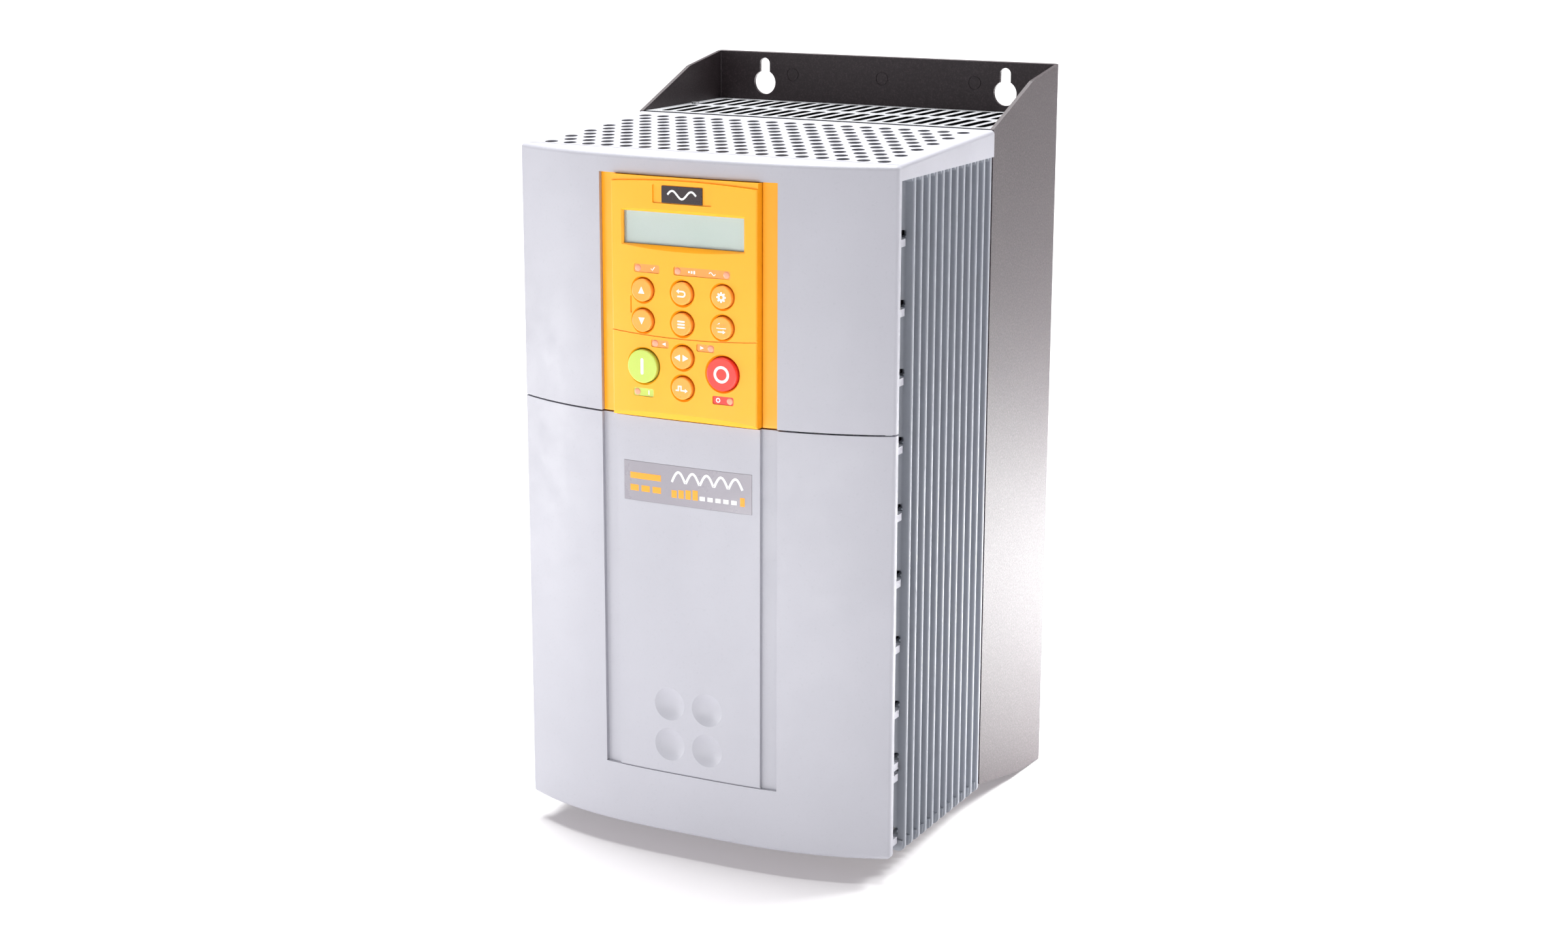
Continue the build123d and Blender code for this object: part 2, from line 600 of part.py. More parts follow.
def fan_tray():
    """Shelf across the bottom of the duct with an opening under each fan."""
    y = (DUCT_FRONT_Y + 0.1, DUCT_REAR_Y - 0.7)
    through = (FAN_TRAY_Z[0] - 1, FAN_TRAY_Z[1] + 1)
    flange_z = (FAN_TRAY_Z[0], FAN_TRAY_Z[0] + FAN_TRAY_FLANGE)
    tray = block((-CHASSIS_HALF, CHASSIS_HALF), y, FAN_TRAY_Z)
    tray += both_sides(block((CHASSIS_HALF - 1.5, CHASSIS_HALF), y, flange_z))
    for x in (-FAN_X, FAN_X):
        tray -= rod_z(x, FAN_Y, through, FAN_BORE)
        tray -= fan_corners(x, through, FAN_HOLE_RADIUS)
    return tray


def fan_corners(x, span, radius):
    """Upright rods at a fan's four fixing holes."""
    half = FAN_HOLE_PITCH / 2
    return [rod_z(x + dx, FAN_Y + dy, span, radius) for dx in (-half, half) for dy in (-half, half)]


def fan_frame(x):
    """Square fan housing with a motor boss held by three struts."""
    z = (FAN_TRAY_Z[1], FAN_TRAY_Z[1] + FAN_HEIGHT)
    frame = block((x - FAN_HALF, x + FAN_HALF), (FAN_Y - FAN_HALF, FAN_Y + FAN_HALF), z)
    frame = fillet(frame.edges().filter_by(Axis.Z), 4)
    frame -= rod_z(x, FAN_Y, (z[0] - 1, z[1] + 1), FAN_BORE)
    strut = Pos(FAN_BORE / 2, 0, 0) * Box(FAN_BORE + 1, 5, 3)
    frame += [Pos(x, FAN_Y, z[1] - 1.5) * Rot(0, 0, 30 + 120 * i) * strut for i in range(3)]
    frame += rod_z(x, FAN_Y, (z[1] - 4.5, z[1]), FAN_HUB)
    frame -= rod_z(x, FAN_Y, (z[1] - 6, z[1] - 1.5), FAN_SHAFT + FAN_SHAFT_FIT)
    return frame - fan_corners(x, (z[0] - 1, z[1] + 1), FAN_HOLE_RADIUS)


def fan_rotor(x):
    """Hub cup on a short shaft, with pitched blades trimmed to the path that their tips sweep."""
    z = (FAN_TRAY_Z[1] + 1.5, FAN_TRAY_Z[1] + FAN_HEIGHT - 5.5)
    hub = rod_z(x, FAN_Y, z, FAN_HUB)
    hub = fillet(hub.edges().sort_by(Axis.Z)[0], 1.5)
    tip = FAN_BORE - FAN_TIP_GAP
    reach = tip - FAN_HUB + 1
    blade = Pos(FAN_HUB - 1 + reach / 2, 0, 0) * Rot(52, 0, 0) * Box(reach, 21, 1.4)
    middle = Pos(x, FAN_Y, (z[0] + z[1]) / 2)
    blades = [middle * Rot(0, 0, 360 / FAN_BLADES * i) * blade for i in range(FAN_BLADES)]
    shaft = rod_z(x, FAN_Y, (z[1] - 2, z[1] + 3.3), FAN_SHAFT)
    return (hub + blades + shaft) & rod_z(x, FAN_Y, (FAN_TRAY_Z[1], FAN_TRAY_Z[1] + FAN_HEIGHT), tip)


def fan_guards():
    """Stamped finger guards of flat rings and cross bars, under both fans."""
    guards = []
    half = GUARD_WIRE / 2
    z = (FAN_TRAY_Z[0] - GUARD_THICK, FAN_TRAY_Z[0])
    for x in (-FAN_X, FAN_X):
        reach = FAN_BORE + half
        guard = block((x - reach, x + reach), (FAN_Y - half, FAN_Y + half), z)
        guard += block((x - half, x + half), (FAN_Y - reach, FAN_Y + reach), z)
        for radius in (*GUARD_RINGS, FAN_BORE + 1.6):
            guard += rod_z(x, FAN_Y, z, radius) - rod_z(x, FAN_Y, z, radius - 2.2)
        guards.append(guard)
    return guards


def fan_screws():
    """Long screws through the fans' corners, with their heads on top."""
    top = FAN_TRAY_Z[1] + FAN_HEIGHT
    screws = []
    for x in (-FAN_X, FAN_X):
        shanks = fan_corners(x, (FAN_TRAY_Z[0] - 0.6, top + 1), 2.0)
        heads = fan_corners(x, (top, top + 2.4), 3.5)
        screws += [shank + head for shank, head in zip(shanks, heads)]
    return screws


# ---- Underside ------------------------------------------------------------

def gland_plate():
    """Steel cable entry plate whose lips reach down to the standing surface."""
    sheet = GLAND_LIP_X[1] - GLAND_LIP_X[0]
    plate = block((-GLAND_HALF, GLAND_HALF), GLAND_Y, GLAND_Z)
    plate += both_sides(block(GLAND_LIP_X, (GLAND_LIP_FRONT_Y, GLAND_Y[1]), (0, GLAND_Z[1])))
    plate += block((-GLAND_HALF, GLAND_HALF), (GLAND_Y[1] - sheet, GLAND_Y[1]),
                   (GLAND_Z[0], GLAND_Z[1] + GLAND_REAR_RISE))
    for x in CABLE_HOLE_X:
        plate -= rod_z(x, CABLE_HOLE_Y, (GLAND_Z[0] - 1, GLAND_Z[1] + 1), CABLE_HOLE_RADIUS)
    return plate


def cable_grommets():
    """Grooved rubber rings that line the cable holes."""
    below = (GLAND_Z[0] - GROMMET_LIP, GLAND_Z[0])
    above = (GLAND_Z[1], GLAND_Z[1] + GROMMET_LIP)
    rings = []
    for x in CABLE_HOLE_X:
        ring = rod_z(x, CABLE_HOLE_Y, GLAND_Z, CABLE_HOLE_RADIUS)
        ring += rod_z(x, CABLE_HOLE_Y, below, CABLE_HOLE_RADIUS + GROMMET_LIP)
        ring += rod_z(x, CABLE_HOLE_Y, above, CABLE_HOLE_RADIUS + GROMMET_LIP)
        rings.append(ring - rod_z(x, CABLE_HOLE_Y, (below[0] - 1, above[1] + 1), GROMMET_BORE))
    return rings


def earth_studs():
    """Threaded earth studs with hexagon nuts and washers, on the gland plate."""
    x, y = EARTH_STUD
    foot = GLAND_Z[1]
    stud = rod_z(x, y, (foot, foot + 16), 2.5) + rod_z(x, y, (foot, foot + 1), 5.5)
    stud += Pos(x, y, foot + 1) * extrude(RegularPolygon(4.6, 6), 4, dir=(0, 0, 1))
    return both_sides(stud)


# ---- Power electronics ----------------------------------------------------

def thyristor_modules():
    """Three power modules, bolted flat to the heatsink through the window."""
    step_y = 14.0
    low, centre, high = MODULE_TERMINAL_Z
    modules = []
    for x in MODULE_X:
        body = block((x - MODULE_HALF, x + MODULE_HALF), (step_y, DUCT_FRONT_Y), MODULE_Z)
        body += block((x - MODULE_HALF + 2, x + MODULE_HALF - 2), (MODULE_FRONT_Y, step_y),
                      (MODULE_Z[0] + 6, MODULE_Z[1] - 6))
        for z in ((low + centre) / 2, (centre + high) / 2):
            body -= block((x - MODULE_HALF, x + MODULE_HALF),
                          (MODULE_FRONT_Y - 1, MODULE_FRONT_Y + 5), (z - 4, z + 4))
        for z in (MODULE_Z[0] + 3, MODULE_Z[1] - 3):
            body += rod_y(x, z, (step_y - 4, step_y), 2.8)
        modules.append(body)
    return modules


def module_bolt(x, z):
    """Hexagon bolt head on a busbar."""
    head = Plane.XZ * RegularPolygon(3.6, 6)
    return Pos(x, BAR_FRONT_Y - 2.6, z) * extrude(head, 2.6, dir=(0, 1, 0))


def upright_bar(x, z):
    """Flat copper bar standing in the busbar plane."""
    return block((x - BAR_HALF, x + BAR_HALF), (BAR_FRONT_Y, MODULE_FRONT_Y), z)


def power_positions():
    """Sideways positions of the power terminals."""
    return evenly(POWER_WAYS, POWER_PITCH)


def busbars_ac():
    """Three supply bars from the terminals up to the modules."""
    z = (POWER_BLOCK_Z[1] - 10, MODULE_TERMINAL_Z[0] + BAR_HALF)
    return [upright_bar(x, z) + module_bolt(x, MODULE_TERMINAL_Z[0]) for x in MODULE_X]


def busbars_dc():
    """Two motor bars across the modules and down their outer sides."""
    bars = []
    outer = power_positions()[-1]
    for side, z in ((-1, MODULE_TERMINAL_Z[2]), (1, MODULE_TERMINAL_Z[1])):
        across = block((side * (outer + BAR_HALF), -side * (MODULE_X[2] + BAR_HALF)),
                       (BAR_FRONT_Y, MODULE_FRONT_Y), (z - BAR_HALF, z + BAR_HALF))
        bar = across + upright_bar(side * outer, (POWER_BLOCK_Z[1] - 10, z + BAR_HALF))
        bars.append(bar + [module_bolt(x, z) for x in MODULE_X])
    return bars


def current_transformers():
    """Ring transformers around the two outer supply bars."""
    rings = []
    middle_y = (BAR_FRONT_Y + MODULE_FRONT_Y) / 2
    for x in (MODULE_X[0], MODULE_X[2]):
        ring = rod_z(x, middle_y, (90.0, 104.0), 14.5) - rod_z(x, middle_y, (89.0, 105.0), 8.0)
        rings.append(ring)
    return rings


def power_terminal_block():
    """Barrier block with a cell for each power conductor."""
    width = POWER_WAYS * POWER_PITCH + 3
    body = block((-width / 2, width / 2), (POWER_BLOCK_FRONT_Y, CHASSIS_Y), POWER_BLOCK_Z)
    for x in power_positions():
        half = POWER_PITCH / 2 - 1.5
        body -= block((x - half, x + half), (POWER_BLOCK_FRONT_Y - 1, MODULE_FRONT_Y),
                      (POWER_BLOCK_Z[0] - 1, POWER_BLOCK_Z[1] + 1))
        body -= rod_z(x, 4.0, (POWER_BLOCK_Z[0] - 1, POWER_BLOCK_Z[0] + 14), 6.0)
    return body


def power_terminal_screws():
    """Clamp screws in the cells of the power block."""
    screws = []
    for x in power_positions():
        z = POWER_BLOCK_Z[0] + 8
        head = rod_y(x, z, (MODULE_FRONT_Y - 3.5, MODULE_FRONT_Y), 5.5)
        head -= block((x - 6, x + 6), (MODULE_FRONT_Y - 4, MODULE_FRONT_Y - 2.3), (z - 0.7, z + 0.7))
        screws.append(head)
    return screws


def power_terminal_shield():
    """Clear finger shield in front of the power terminals."""
    width = POWER_WAYS * POWER_PITCH + 7
    shield = block((-width / 2, width / 2), (POWER_BLOCK_FRONT_Y - 2, POWER_BLOCK_FRONT_Y - 0.4),
                   (POWER_BLOCK_Z[0] - 2, POWER_BLOCK_Z[1] + 4))
    wings = block((width / 2 - 1.8, width / 2), (POWER_BLOCK_FRONT_Y - 2, POWER_BLOCK_FRONT_Y + 10),
                  (POWER_BLOCK_Z[0] - 2, POWER_BLOCK_Z[1] + 4))
    return shield + both_sides(wings)


def power_board():
    """Firing and snubber board in front of the modules."""
    return block((-POWER_BOARD_HALF, POWER_BOARD_HALF),
                 (POWER_BOARD_Y, POWER_BOARD_Y + BOARD_THICK), POWER_BOARD_Z)


def board_standoffs():
    """Pillars between the bulkhead, the power board, the tray and the control board."""
    pillars = []
    for z in STANDOFF_Z:
        for x in (-STANDOFF_X, STANDOFF_X):
            pillars.append(rod_y(x, z, (POWER_BOARD_Y + BOARD_THICK, CHASSIS_Y), 3.2))
            pillars.append(rod_y(x, z, (TRAY_Y[1], POWER_BOARD_Y), 3.2))
            pillars.append(rod_y(x, z, (CONTROL_BOARD_Y + BOARD_THICK, TRAY_Y[0]), 3.2))
    return pillars


def pulse_transformers():
    """Small potted transformers that fire the modules."""
    half = PULSE_SIZE / 2
    y = (POWER_BOARD_Y - PULSE_DEEP, POWER_BOARD_Y)
    return [block((x - half, x + half), y, (z - half, z + half)) for x in BOARD_PART_X for z in PULSE_Z]


def snubber_capacitors():
    """Box film capacitors on the power board."""
    width, deep, height = SNUBBER_SIZE
    y = (POWER_BOARD_Y - deep, POWER_BOARD_Y)
    return [block((x - width / 2, x + width / 2), y, (z - height / 2, z + height / 2))
            for x in BOARD_PART_X for z in SNUBBER_Z]


# ---- Control electronics --------------------------------------------------

def control_tray():
    """Moulded tray that carries the control board above the power board."""
    tray = block((-TRAY_HALF, TRAY_HALF), TRAY_Y, TRAY_Z)
    rim = block((TRAY_HALF - 2, TRAY_HALF), TRAY_RIM_Y, TRAY_Z)
    tray += both_sides(rim)
    return tray - block((-16, 16), (TRAY_Y[0] - 1, TRAY_Y[1] + 1), (300.0, 312.0))


def control_board():
    """Main control board behind the keypad."""
    return block((-CONTROL_BOARD_HALF, CONTROL_BOARD_HALF),
                 (CONTROL_BOARD_Y, CONTROL_BOARD_Y + BOARD_THICK), CONTROL_BOARD_Z)


def control_terminals():
    """Three rows of plug-in control terminals along the board's lower edge."""
    rows = []
    z = (CONTROL_BOARD_Z[0] + 2, CONTROL_BOARD_Z[0] + 17)
    face_y = CONTROL_BOARD_Y - 15
    for middle in CONTROL_BLOCK_X:
        row = block((middle - 25, middle + 25), (face_y, CONTROL_BOARD_Y), z)
        for step in evenly(CONTROL_WAYS, CONTROL_WAY_PITCH):
            x = middle + step
            row -= rod_y(x, z[1] - 5, (face_y - 1, face_y + 3), 1.7)
            row -= block((x - 1.6, x + 1.6), (face_y + 4, face_y + 9), (z[0] - 1, z[0] + 5))
        rows.append(row)
    return rows


def control_chips():
    """Processor, memories, relays and connectors on the control board."""
    return [block((x - width / 2, x + width / 2), (CONTROL_BOARD_Y - deep, CONTROL_BOARD_Y),
                  (z - height / 2, z + height / 2)) for x, z, width, height, deep in CHIPS]


def socket_block(edge, y):
    """Block round the keypad's plug, wider than it by an edge."""
    return block((-PLUG_HALF[0] - edge, PLUG_HALF[0] + edge), y,
                 (SOCKET_Z - PLUG_HALF[1] - edge, SOCKET_Z + PLUG_HALF[1] + edge))


def keypad_socket():
    """Open-fronted socket on the control board that the keypad plugs into."""
    return (socket_block(2, (SOCKET_FRONT_Y, CONTROL_BOARD_Y))
            - socket_block(0.4, (SOCKET_FRONT_Y - 1, CONTROL_BOARD_Y - 1.5)))


def cable_line(rise):
    """Side view of one face of the ribbon cable, raised by rise."""
    ends = ((CONTROL_BOARD_Y + BOARD_THICK, CABLE_ROUTE[0][1]), (POWER_BOARD_Y, CABLE_ROUTE[1][1]))
    route = [(y, z + rise) for y, z in (ends[0], *CABLE_ROUTE, ends[1])]
    return FilletPolyline(*route, radius=8)


def ribbon_cable():
    """Flat cable looped between the two boards through the tray."""
    lower = cable_line(0)
    upper = cable_line(CABLE_THICK)
    ends = [Line(lower @ 0, upper @ 0), Line(lower @ 1, upper @ 1)]
    strip = Plane.YZ * make_face([lower, upper, *ends])
    return Pos(-CABLE_WIDTH / 2, 0, 0) * extrude(strip, CABLE_WIDTH, dir=(1, 0, 0))


# ---- Keypad ---------------------------------------------------------------

def engraved(sketch, depth):
    """Cutter for a drawing in X and Z, to an even depth below the keypad's face."""
    skin = bowed_sheet(-KEYPAD_HALF - 1, KEYPAD_HALF + 1, -KEYPAD_PROUD - 1, depth + 1,
                       KEYPAD_Z[0] - 1, KEYPAD_Z[1] + 2)
    return upright(sketch, -REAR_Y - 3, KEYPAD_SPLIT_Y) & skin


def arc_band(z_end, z_middle, width):
    """Drawing of a gently curved line across the keypad."""
    lower = ThreePointArc((-KEYPAD_HALF, z_end), (0, z_middle), (KEYPAD_HALF, z_end))
    upper = ThreePointArc((-KEYPAD_HALF, z_end + width), (0, z_middle + width),
                          (KEYPAD_HALF, z_end + width))
    ends = [Line(lower @ 0, upper @ 0), Line(lower @ 1, upper @ 1)]
    return make_face([lower, upper, *ends])


def brow():
    """Drawing of the stepped brow along the keypad's top edge."""
    side = KEYPAD_HALF + 1
    above = KEYPAD_Z[1] + 2
    lower = ThreePointArc((-side, BROW_Z[0]), (0, BROW_Z[1]), (side, BROW_Z[0]))
    top = Polyline(lower @ 0, (-side, above), (side, above), lower @ 1)
    return make_face([lower, top])


def bezel_cutter():
    """Bevel round the display, with a bowed lower edge at the face."""
    wide, tall = BEZEL_HALF
    outer = [Line((-wide, tall), (wide, tall)), Line((wide, tall), (wide, -tall + 0.8)),
             ThreePointArc((wide, -tall + 0.8), (0, -tall - 0.8), (-wide, -tall + 0.8)),
             Line((-wide, -tall + 0.8), (-wide, tall))]
    inner = Rectangle(2 * DISPLAY_HALF[0], 2 * DISPLAY_HALF[1])
    back = Plane((0, KEYPAD_FACE_Y + BEZEL_DEPTH, DISPLAY_Z), x_dir=(1, 0, 0), z_dir=(0, -1, 0))
    front = Plane((0, KEYPAD_FACE_Y - 0.2, DISPLAY_Z), x_dir=(1, 0, 0), z_dir=(0, -1, 0))
    return loft([back * inner.face(), front * make_face(outer).face()])


def key_well(x, z, radius):
    """Cutter for a key's hole, with a bevelled mouth."""
    hole = rod_y(x, z, (-REAR_Y - 2, KEYPAD_SPLIT_Y - 2), radius + KEY_GAP)
    bevel = Cone(radius + KEY_GAP + 1.2, radius + KEY_GAP, 1.5)
    return hole + Pos(x, KEYPAD_FACE_Y + 0.35, z) * Rot(-90, 0, 0) * bevel


def all_keys():
    """Every key's place and radius."""
    keys = {name: (*place, SMALL_KEY) for name, place in SMALL_KEYS.items()}
    keys.update({name: (*place, LARGE_KEY) for name, place in LARGE_KEYS.items()})
    return keys


def keypad_front_shell():
    """Front half of the keypad: key wells, display bevel, brow and grooves."""
    shell = bowed_prism(-KEYPAD_HALF, KEYPAD_HALF, -KEYPAD_PROUD, KEYPAD_SPLIT_Y, *KEYPAD_Z)
    corners = shell.edges().filter_by(Axis.Z).filter_by(lambda e: e.center().Y < KEYPAD_SPLIT_Y - 1)
    shell = fillet(corners, 1.0)
    shell -= engraved(brow(), 1.1)
    ahead = KEYPAD_FACE_Y - 2
    foot = KEYPAD_Z[0] - 1.3
    chin = Polyline((ahead, foot + CHIN[1]), (ahead, foot), (KEYPAD_FACE_Y + CHIN[0], foot), close=True)
    shell -= Pos(-HALF_WIDTH, 0, 0) * extrude(Plane.YZ * make_face(chin), WIDTH, dir=(1, 0, 0))
    inner = KEYPAD_HALF - KEYPAD_WALL
    shell -= bowed_prism(-inner, inner, KEYPAD_FACE_WALL - KEYPAD_PROUD, KEYPAD_SPLIT_Y,
                         KEYPAD_Z[0] + KEYPAD_WALL, KEYPAD_Z[1] - KEYPAD_WALL)
    shell -= engraved(arc_band(*GROOVE_Z, 0.6), 0.5)
    shell -= bezel_cutter()
    shell -= pill(0, DISPLAY_Z, 2 * DISPLAY_HALF[0], 2 * DISPLAY_HALF[1], -REAR_Y - 2, KEYPAD_OPENING_Y, 0.3)
    shell -= engraved(Pos(0, NAMEPLATE_Z) * RectangleRounded(*NAMEPLATE_RECESS, 0.6), 0.6)
    for x, z, radius in all_keys().values():
        shell -= key_well(x, z, radius)
    shell -= engraved(Pos(*LINK_PLACE) * Rectangle(*LINK_SIZE), 0.6)
    for x, z, width, height in (*AMBER_WINDOWS, GREEN_WINDOW, RED_WINDOW):
        shell -= pill(x, z, width, height, -REAR_Y - 2, KEYPAD_OPENING_Y, 0.9)
    return shell


def keypad_back_shell():
    """Back half of the keypad, with a window for its plug."""
    shell = block((-KEYPAD_HALF, KEYPAD_HALF), (KEYPAD_SPLIT_Y, KEYPAD_BACK_Y), KEYPAD_Z)
    corners = shell.edges().filter_by(Axis.Z).filter_by(lambda e: e.center().Y > KEYPAD_SPLIT_Y + 1)
    shell = fillet(corners, 1.5)
    inner = KEYPAD_HALF - KEYPAD_WALL
    shell -= block((-inner, inner), (KEYPAD_SPLIT_Y, KEYPAD_BACK_Y - KEYPAD_WALL),
                   (KEYPAD_Z[0] + KEYPAD_WALL, KEYPAD_Z[1] - KEYPAD_WALL))
    return shell - socket_block(0, (KEYPAD_SPLIT_Y, KEYPAD_BACK_Y + 1))


def keypad_plug():
    """Connector from the keypad's board through its back."""
    return socket_block(0, (KEYPAD_BOARD_Y + BOARD_THICK, PLUG_END_Y))


def keypad_lens():
    """Clear window over the display."""
    return pill(0, DISPLAY_Z, 2 * DISPLAY_HALF[0] - 0.2, 2 * DISPLAY_HALF[1] - 0.2, *LENS_Y, 0.2)


def lcd_module():
    """Display glass and its metal frame behind the window."""
    frame = block((-33.5, 33.5), (LCD_FACE_Y[1], KEYPAD_BOARD_Y), (DISPLAY_Z - 9.5, DISPLAY_Z + 9.5))
    return frame + block((-31.0, 31.0), LCD_FACE_Y, (DISPLAY_Z - 7.4, DISPLAY_Z + 7.4))


def keypad_board():
    """Keypad circuit board behind the key mat."""
    return block((-35.5, 35.5), (KEYPAD_BOARD_Y, KEYPAD_BOARD_Y + BOARD_THICK), (226.0, 328.0))


def keymat():
    """Rubber contact mat with a dome behind each key."""
    mat = block((-33.0, 33.0), (KEYMAT_Y, KEYPAD_BOARD_Y), (230.0, 292.0))
    return mat + [rod_y(x, z, (KEYMAT_Y - 0.8, KEYMAT_Y + 0.5), 3.6) for x, z, _ in all_keys().values()]


def key(x, z, radius):
    """Round key cap with a retaining flange behind the face."""
    cap = rod_y(x, z, (KEY_FRONT_Y, KEY_FLANGE_Y[1]), radius)
    cap = fillet(cap.edges().sort_by(Axis.Y)[0], KEY_ROUND)
    return cap + rod_y(x, z, KEY_FLANGE_Y, radius + KEY_FLANGE)


def label_window(x, z, width, height):
    """Translucent strip that fills one label opening."""
    y_front = front_y(x) - KEYPAD_PROUD + WINDOW_DEPTH
    return pill(x, z, width - 0.1, height - 0.1, y_front, LABEL_BACK_Y, LABEL_ROUND)


def keypad_nameplate():
    """Plain dark plate in the recess above the display."""
    return pill(0, NAMEPLATE_Z, *NAMEPLATE_SIZE, KEYPAD_FACE_Y + 0.15, KEYPAD_FACE_Y + 0.6, 0.3)


def case_screws():
    """Pan-head screws that fix the duct's guard."""
    y = (DUCT_FRONT_Y + DUCT_REAR_Y) / 2
    return both_sides(rod_z(GRILLE_SCREW_X, y, (GRILLE_TOP_Z, GRILLE_TOP_Z + 1.4), 1.9))


# ---- Output ---------------------------------------------------------------

def sub_parts():
    """Every node's name with its solid or solids."""
    parts = {
        "mounting_bracket": mounting_bracket(),
        "chassis_plate": chassis_plate(),
        "heatsink": heatsink(),
        "duct_top_grille": duct_top_grille(),
        "fan_tray": fan_tray(),
        "fan_left_frame": fan_frame(-FAN_X),
        "fan_right_frame": fan_frame(FAN_X),
        "fan_left_rotor": fan_rotor(-FAN_X),
        "fan_right_rotor": fan_rotor(FAN_X),
        "fan_guards": fan_guards(),
        "fan_screws": fan_screws(),
        "side_panel_left": side_panel_left(),
        "side_panel_right": side_panel_right(),
        "top_vent_panel": top_vent_panel(),
        "upper_front_cover": upper_front_cover(),
        "keypad_surround": keypad_surround(),
        "lower_front_cover": lower_front_cover(),
        "badge_plate": badge_plate(),
        "gland_plate": gland_plate(),
        "cable_grommets": cable_grommets(),
        "earth_studs": earth_studs(),
        "thyristor_modules": thyristor_modules(),
        "busbars_ac": busbars_ac(),
        "busbars_dc": busbars_dc(),
        "current_transformers": current_transformers(),
        "power_terminal_block": power_terminal_block(),
        "power_terminal_screws": power_terminal_screws(),
        "power_terminal_shield": power_terminal_shield(),
        "power_board": power_board(),
        "board_standoffs": board_standoffs(),
        "pulse_transformers": pulse_transformers(),
        "snubber_capacitors": snubber_capacitors(),
        "control_tray": control_tray(),
        "control_board": control_board(),
        "control_terminals": control_terminals(),
        "control_chips": control_chips(),
        "keypad_socket": keypad_socket(),
        "ribbon_cable": ribbon_cable(),
        "keypad_front_shell": keypad_front_shell(),
        "keypad_back_shell": keypad_back_shell(),
        "keypad_plug": keypad_plug(),
        "keypad_lens": keypad_lens(),
        "lcd_module": lcd_module(),
        "keypad_board": keypad_board(),
        "keymat": keymat(),
        "label_windows_amber": [label_window(*place) for place in AMBER_WINDOWS],
        "label_window_green": label_window(*GREEN_WINDOW),
        "label_window_red": label_window(*RED_WINDOW),
        "keypad_nameplate": keypad_nameplate(),
        "case_screws": case_screws(),
    }
    for name, place in all_keys().items():
        parts[name] = key(*place)
    return parts


def solids_of(shape):
    """The separate solids of a shape or of a list of shapes."""
    shapes = shape if isinstance(shape, list) else [shape]
    return [solid for item in shapes for solid in item.solids()]


os.makedirs("parts", exist_ok=True)
for node, shape in sub_parts().items():
    solids = solids_of(shape)
    whole = solids[0] if len(solids) == 1 else Compound(solids)
    export_step(whole, f"parts/{node}.step")
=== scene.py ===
"""Looks for the wall-mounted motor drive: materials, printed marks, lamps, studio and camera."""
import json
import math
from collections import namedtuple

import bmesh
import bpy
from mathutils import Matrix, Vector
from mathutils.bvhtree import BVHTree

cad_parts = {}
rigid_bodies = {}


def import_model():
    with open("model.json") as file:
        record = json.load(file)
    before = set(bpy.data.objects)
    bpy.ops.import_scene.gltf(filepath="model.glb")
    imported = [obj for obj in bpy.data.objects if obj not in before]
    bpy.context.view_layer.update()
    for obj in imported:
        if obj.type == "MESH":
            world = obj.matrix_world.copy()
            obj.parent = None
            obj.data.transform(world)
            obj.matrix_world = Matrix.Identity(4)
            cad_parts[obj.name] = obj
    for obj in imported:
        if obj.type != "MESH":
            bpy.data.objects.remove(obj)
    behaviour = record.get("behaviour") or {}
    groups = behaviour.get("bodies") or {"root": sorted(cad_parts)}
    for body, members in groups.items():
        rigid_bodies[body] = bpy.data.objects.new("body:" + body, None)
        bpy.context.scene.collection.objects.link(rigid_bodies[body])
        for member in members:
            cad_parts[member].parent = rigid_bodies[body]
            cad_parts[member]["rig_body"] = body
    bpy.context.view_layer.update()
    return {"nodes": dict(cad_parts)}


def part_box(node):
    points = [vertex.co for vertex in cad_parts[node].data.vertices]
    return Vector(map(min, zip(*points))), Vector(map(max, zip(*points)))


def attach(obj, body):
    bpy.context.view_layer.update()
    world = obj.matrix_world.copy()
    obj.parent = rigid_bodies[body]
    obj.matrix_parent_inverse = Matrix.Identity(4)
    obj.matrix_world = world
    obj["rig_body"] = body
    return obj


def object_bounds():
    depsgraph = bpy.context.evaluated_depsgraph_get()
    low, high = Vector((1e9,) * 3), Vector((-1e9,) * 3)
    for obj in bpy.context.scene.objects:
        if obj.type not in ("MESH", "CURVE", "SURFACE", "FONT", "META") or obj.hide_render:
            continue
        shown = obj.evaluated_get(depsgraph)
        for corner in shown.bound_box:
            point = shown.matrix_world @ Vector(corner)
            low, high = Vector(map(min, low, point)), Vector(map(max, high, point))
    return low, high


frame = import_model()
NODES = frame["nodes"]
DRIVE_LOW, DRIVE_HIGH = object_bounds()
MM = 0.001


# ---- Materials ------------------------------------------------------------
# Every pattern runs in object coordinates, so it travels with its body. Its scale is in repeats
# per metre, and a bump's height is in metres.

NOISE_RANGE = (0.3, 0.7)
MIX_FACTOR_IN, MIX_FIRST_COLOUR_IN, MIX_SECOND_COLOUR_IN, MIX_COLOUR_OUT = 0, 6, 7, 2


def srgb(red, green, blue):
    """Linear colour from 0-255 screen values."""
    return tuple(((v / 255 + 0.055) / 1.055) ** 2.4 if v > 10 else v / 255 / 12.92
                 for v in (red, green, blue)) + (1.0,)


